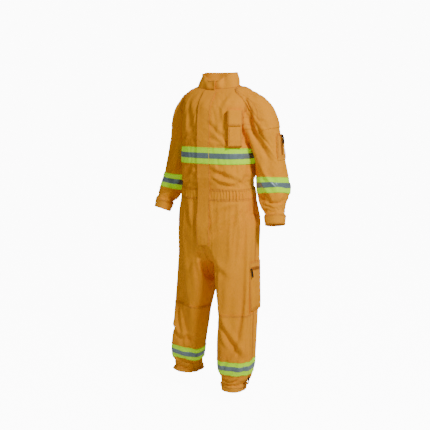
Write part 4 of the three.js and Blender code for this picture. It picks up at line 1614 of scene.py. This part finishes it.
REPEAT, REPEAT_SOCKETS = repeat_group()


def lay_along(lines, name, body, slot, look, element_object, spacing, across=False, seed=7, node_names=()):
    """Bakes the repeats along the lines into one piece."""
    verts, edges = [], []
    for line in lines:
        start = len(verts)
        verts += [tuple(p) for p in line]
        edges += [(start + k, start + k + 1) for k in range(len(line) - 1)]
    mesh = bpy.data.meshes.new(name + "_path")
    mesh.from_pydata(verts, edges, [])
    carrier = bpy.data.objects.new(name + "_path", mesh)
    scene.collection.objects.link(carrier)
    repeat = carrier.modifiers.new("repeat", "NODES")
    repeat.node_group = REPEAT
    for key, value in (("Element", element_object), ("Spacing", spacing), ("Seed", seed),
                       ("Turn across", across), ("Material", look)):
        repeat[REPEAT_SOCKETS[key]] = value
    done = evaluated(carrier)
    drop(carrier)
    done.name = name
    done.shade_smooth()
    obj = bpy.data.objects.new(name, done)
    scene.collection.objects.link(obj)
    return put(obj, body, slot, *node_names, look=look)


# %% Lay the stitches and teeth
LIME_THREAD = cloth_look("Lime thread", "BEE83A", "A0CC20", scale=2200.0, weave=.3, sheen=.2, dust=.2)
stitch_bar = element("stitch_bar", 4, .00072, .0028)
tooth_bar = element("tooth_bar", 5, .00042, .0042, 1.2)
chain_bar = element("chain_bar", 6, .00062, .0056, 1.2)
for (body, kind), lines in stitch_lines.items():
    look = {"thread": THREAD, "lime_thread": LIME_THREAD}[kind]
    slot = {"thread": "shell_cloth", "lime_thread": "lime_tape"}[kind]
    long_enough = [line for line in lines if sum((b - a).length for a, b in zip(line, line[1:])) > .012]
    bins = {"": long_enough}
    if body == GARMENT and kind == "thread":
        bins = {"_bodice": [line for line in long_enough if line[0].z > WAIST[1] - .012],
                "_below": [line for line in long_enough if line[0].z <= WAIST[1] - .012]}
    for suffix, some in bins.items():
        lay_along(some, f"{kind}_on_{body}{suffix}", body, slot, look, stitch_bar, .0034)
lay_along(coil_lines[GARMENT], "small_zip_teeth", GARMENT, "zip_tape", ZIP_CLOTH, tooth_bar, .0013, across=True)
lay_along(coil_lines["front"], "front_zip_teeth", GARMENT, "brass", BRASS, chain_bar, .0017, across=True,
          node_names=("zip_chain",))
for bar in (stitch_bar, tooth_bar, chain_bar):
    bpy.data.objects.remove(bar, do_unlink=True)
master.free()
flap_source.free()
print("stitch pieces:", [n for n in pieces if "thread" in n or "teeth" in n])
print("triangles:", sum(len(p.data.loop_triangles) or sum(len(f.vertices) - 2 for f in p.data.polygons) for p in pieces.values()))

# %% [markdown]
# ## Floor, light and finish
# A plain pale floor and soft studio light, stronger from the wearer's left.

# %% Stage
floor = mesh_of([(np.array([(-9, -9, -SHOULDER), (9, -9, -SHOULDER), (9, 9, -SHOULDER), (-9, 9, -SHOULDER)]),
                  [(0, 1, 2, 3)])], "floor")
floor_look = bpy.data.materials.new("Pale floor")
floor_look.use_nodes = True
floor_tree = floor_look.node_tree
floor_shader = floor_tree.nodes["Principled BSDF"]
floor_grain = node(floor_tree, "ShaderNodeTexNoise", Scale=2.0, Detail=2.0)
floor_tree.links.new(mix_colour(floor_tree, floor_grain.outputs["Fac"], (.90, .90, .90, 1), (.86, .86, .87, 1)),
                     floor_shader.inputs["Base Color"])
floor_shader.inputs["Roughness"].default_value = .9
floor_shader.inputs["Emission Color"].default_value = (1, 1, 1, 1)
floor_view = floor_tree.nodes.new("ShaderNodeLightPath")
floor_tree.links.new(maths(floor_tree, "MULTIPLY", floor_view.outputs["Is Camera Ray"], 11.0),
                     floor_shader.inputs["Emission Strength"])
floor.data.materials.append(floor_look)
world = bpy.data.worlds.new("world")
scene.world = world
world.use_nodes = True
world.node_tree.nodes["Background"].inputs[0].default_value = (1, 1, 1, 1)
world_view = world.node_tree.nodes.new("ShaderNodeLightPath")
brightness = maths(world.node_tree, "ADD", maths(world.node_tree, "MULTIPLY", world_view.outputs["Is Camera Ray"], 11.0), .17)
world.node_tree.links.new(brightness, world.node_tree.nodes["Background"].inputs[1])


def area_light(name, location, target, size, power):
    data = bpy.data.lights.new(name, "AREA")
    data.size = size
    data.energy = power
    obj = bpy.data.objects.new(name, data)
    scene.collection.objects.link(obj)
    obj.location = location
    obj.rotation_euler = (Vector(target) - Vector(location)).to_track_quat("-Z", "Y").to_euler()


area_light("key", (3.2, -1.5, 2.4), (0, 0, -.4), .7, 195)
area_light("fill", (-2.6, -3.0, .8), (0, 0, -.7), 2.5, 16)
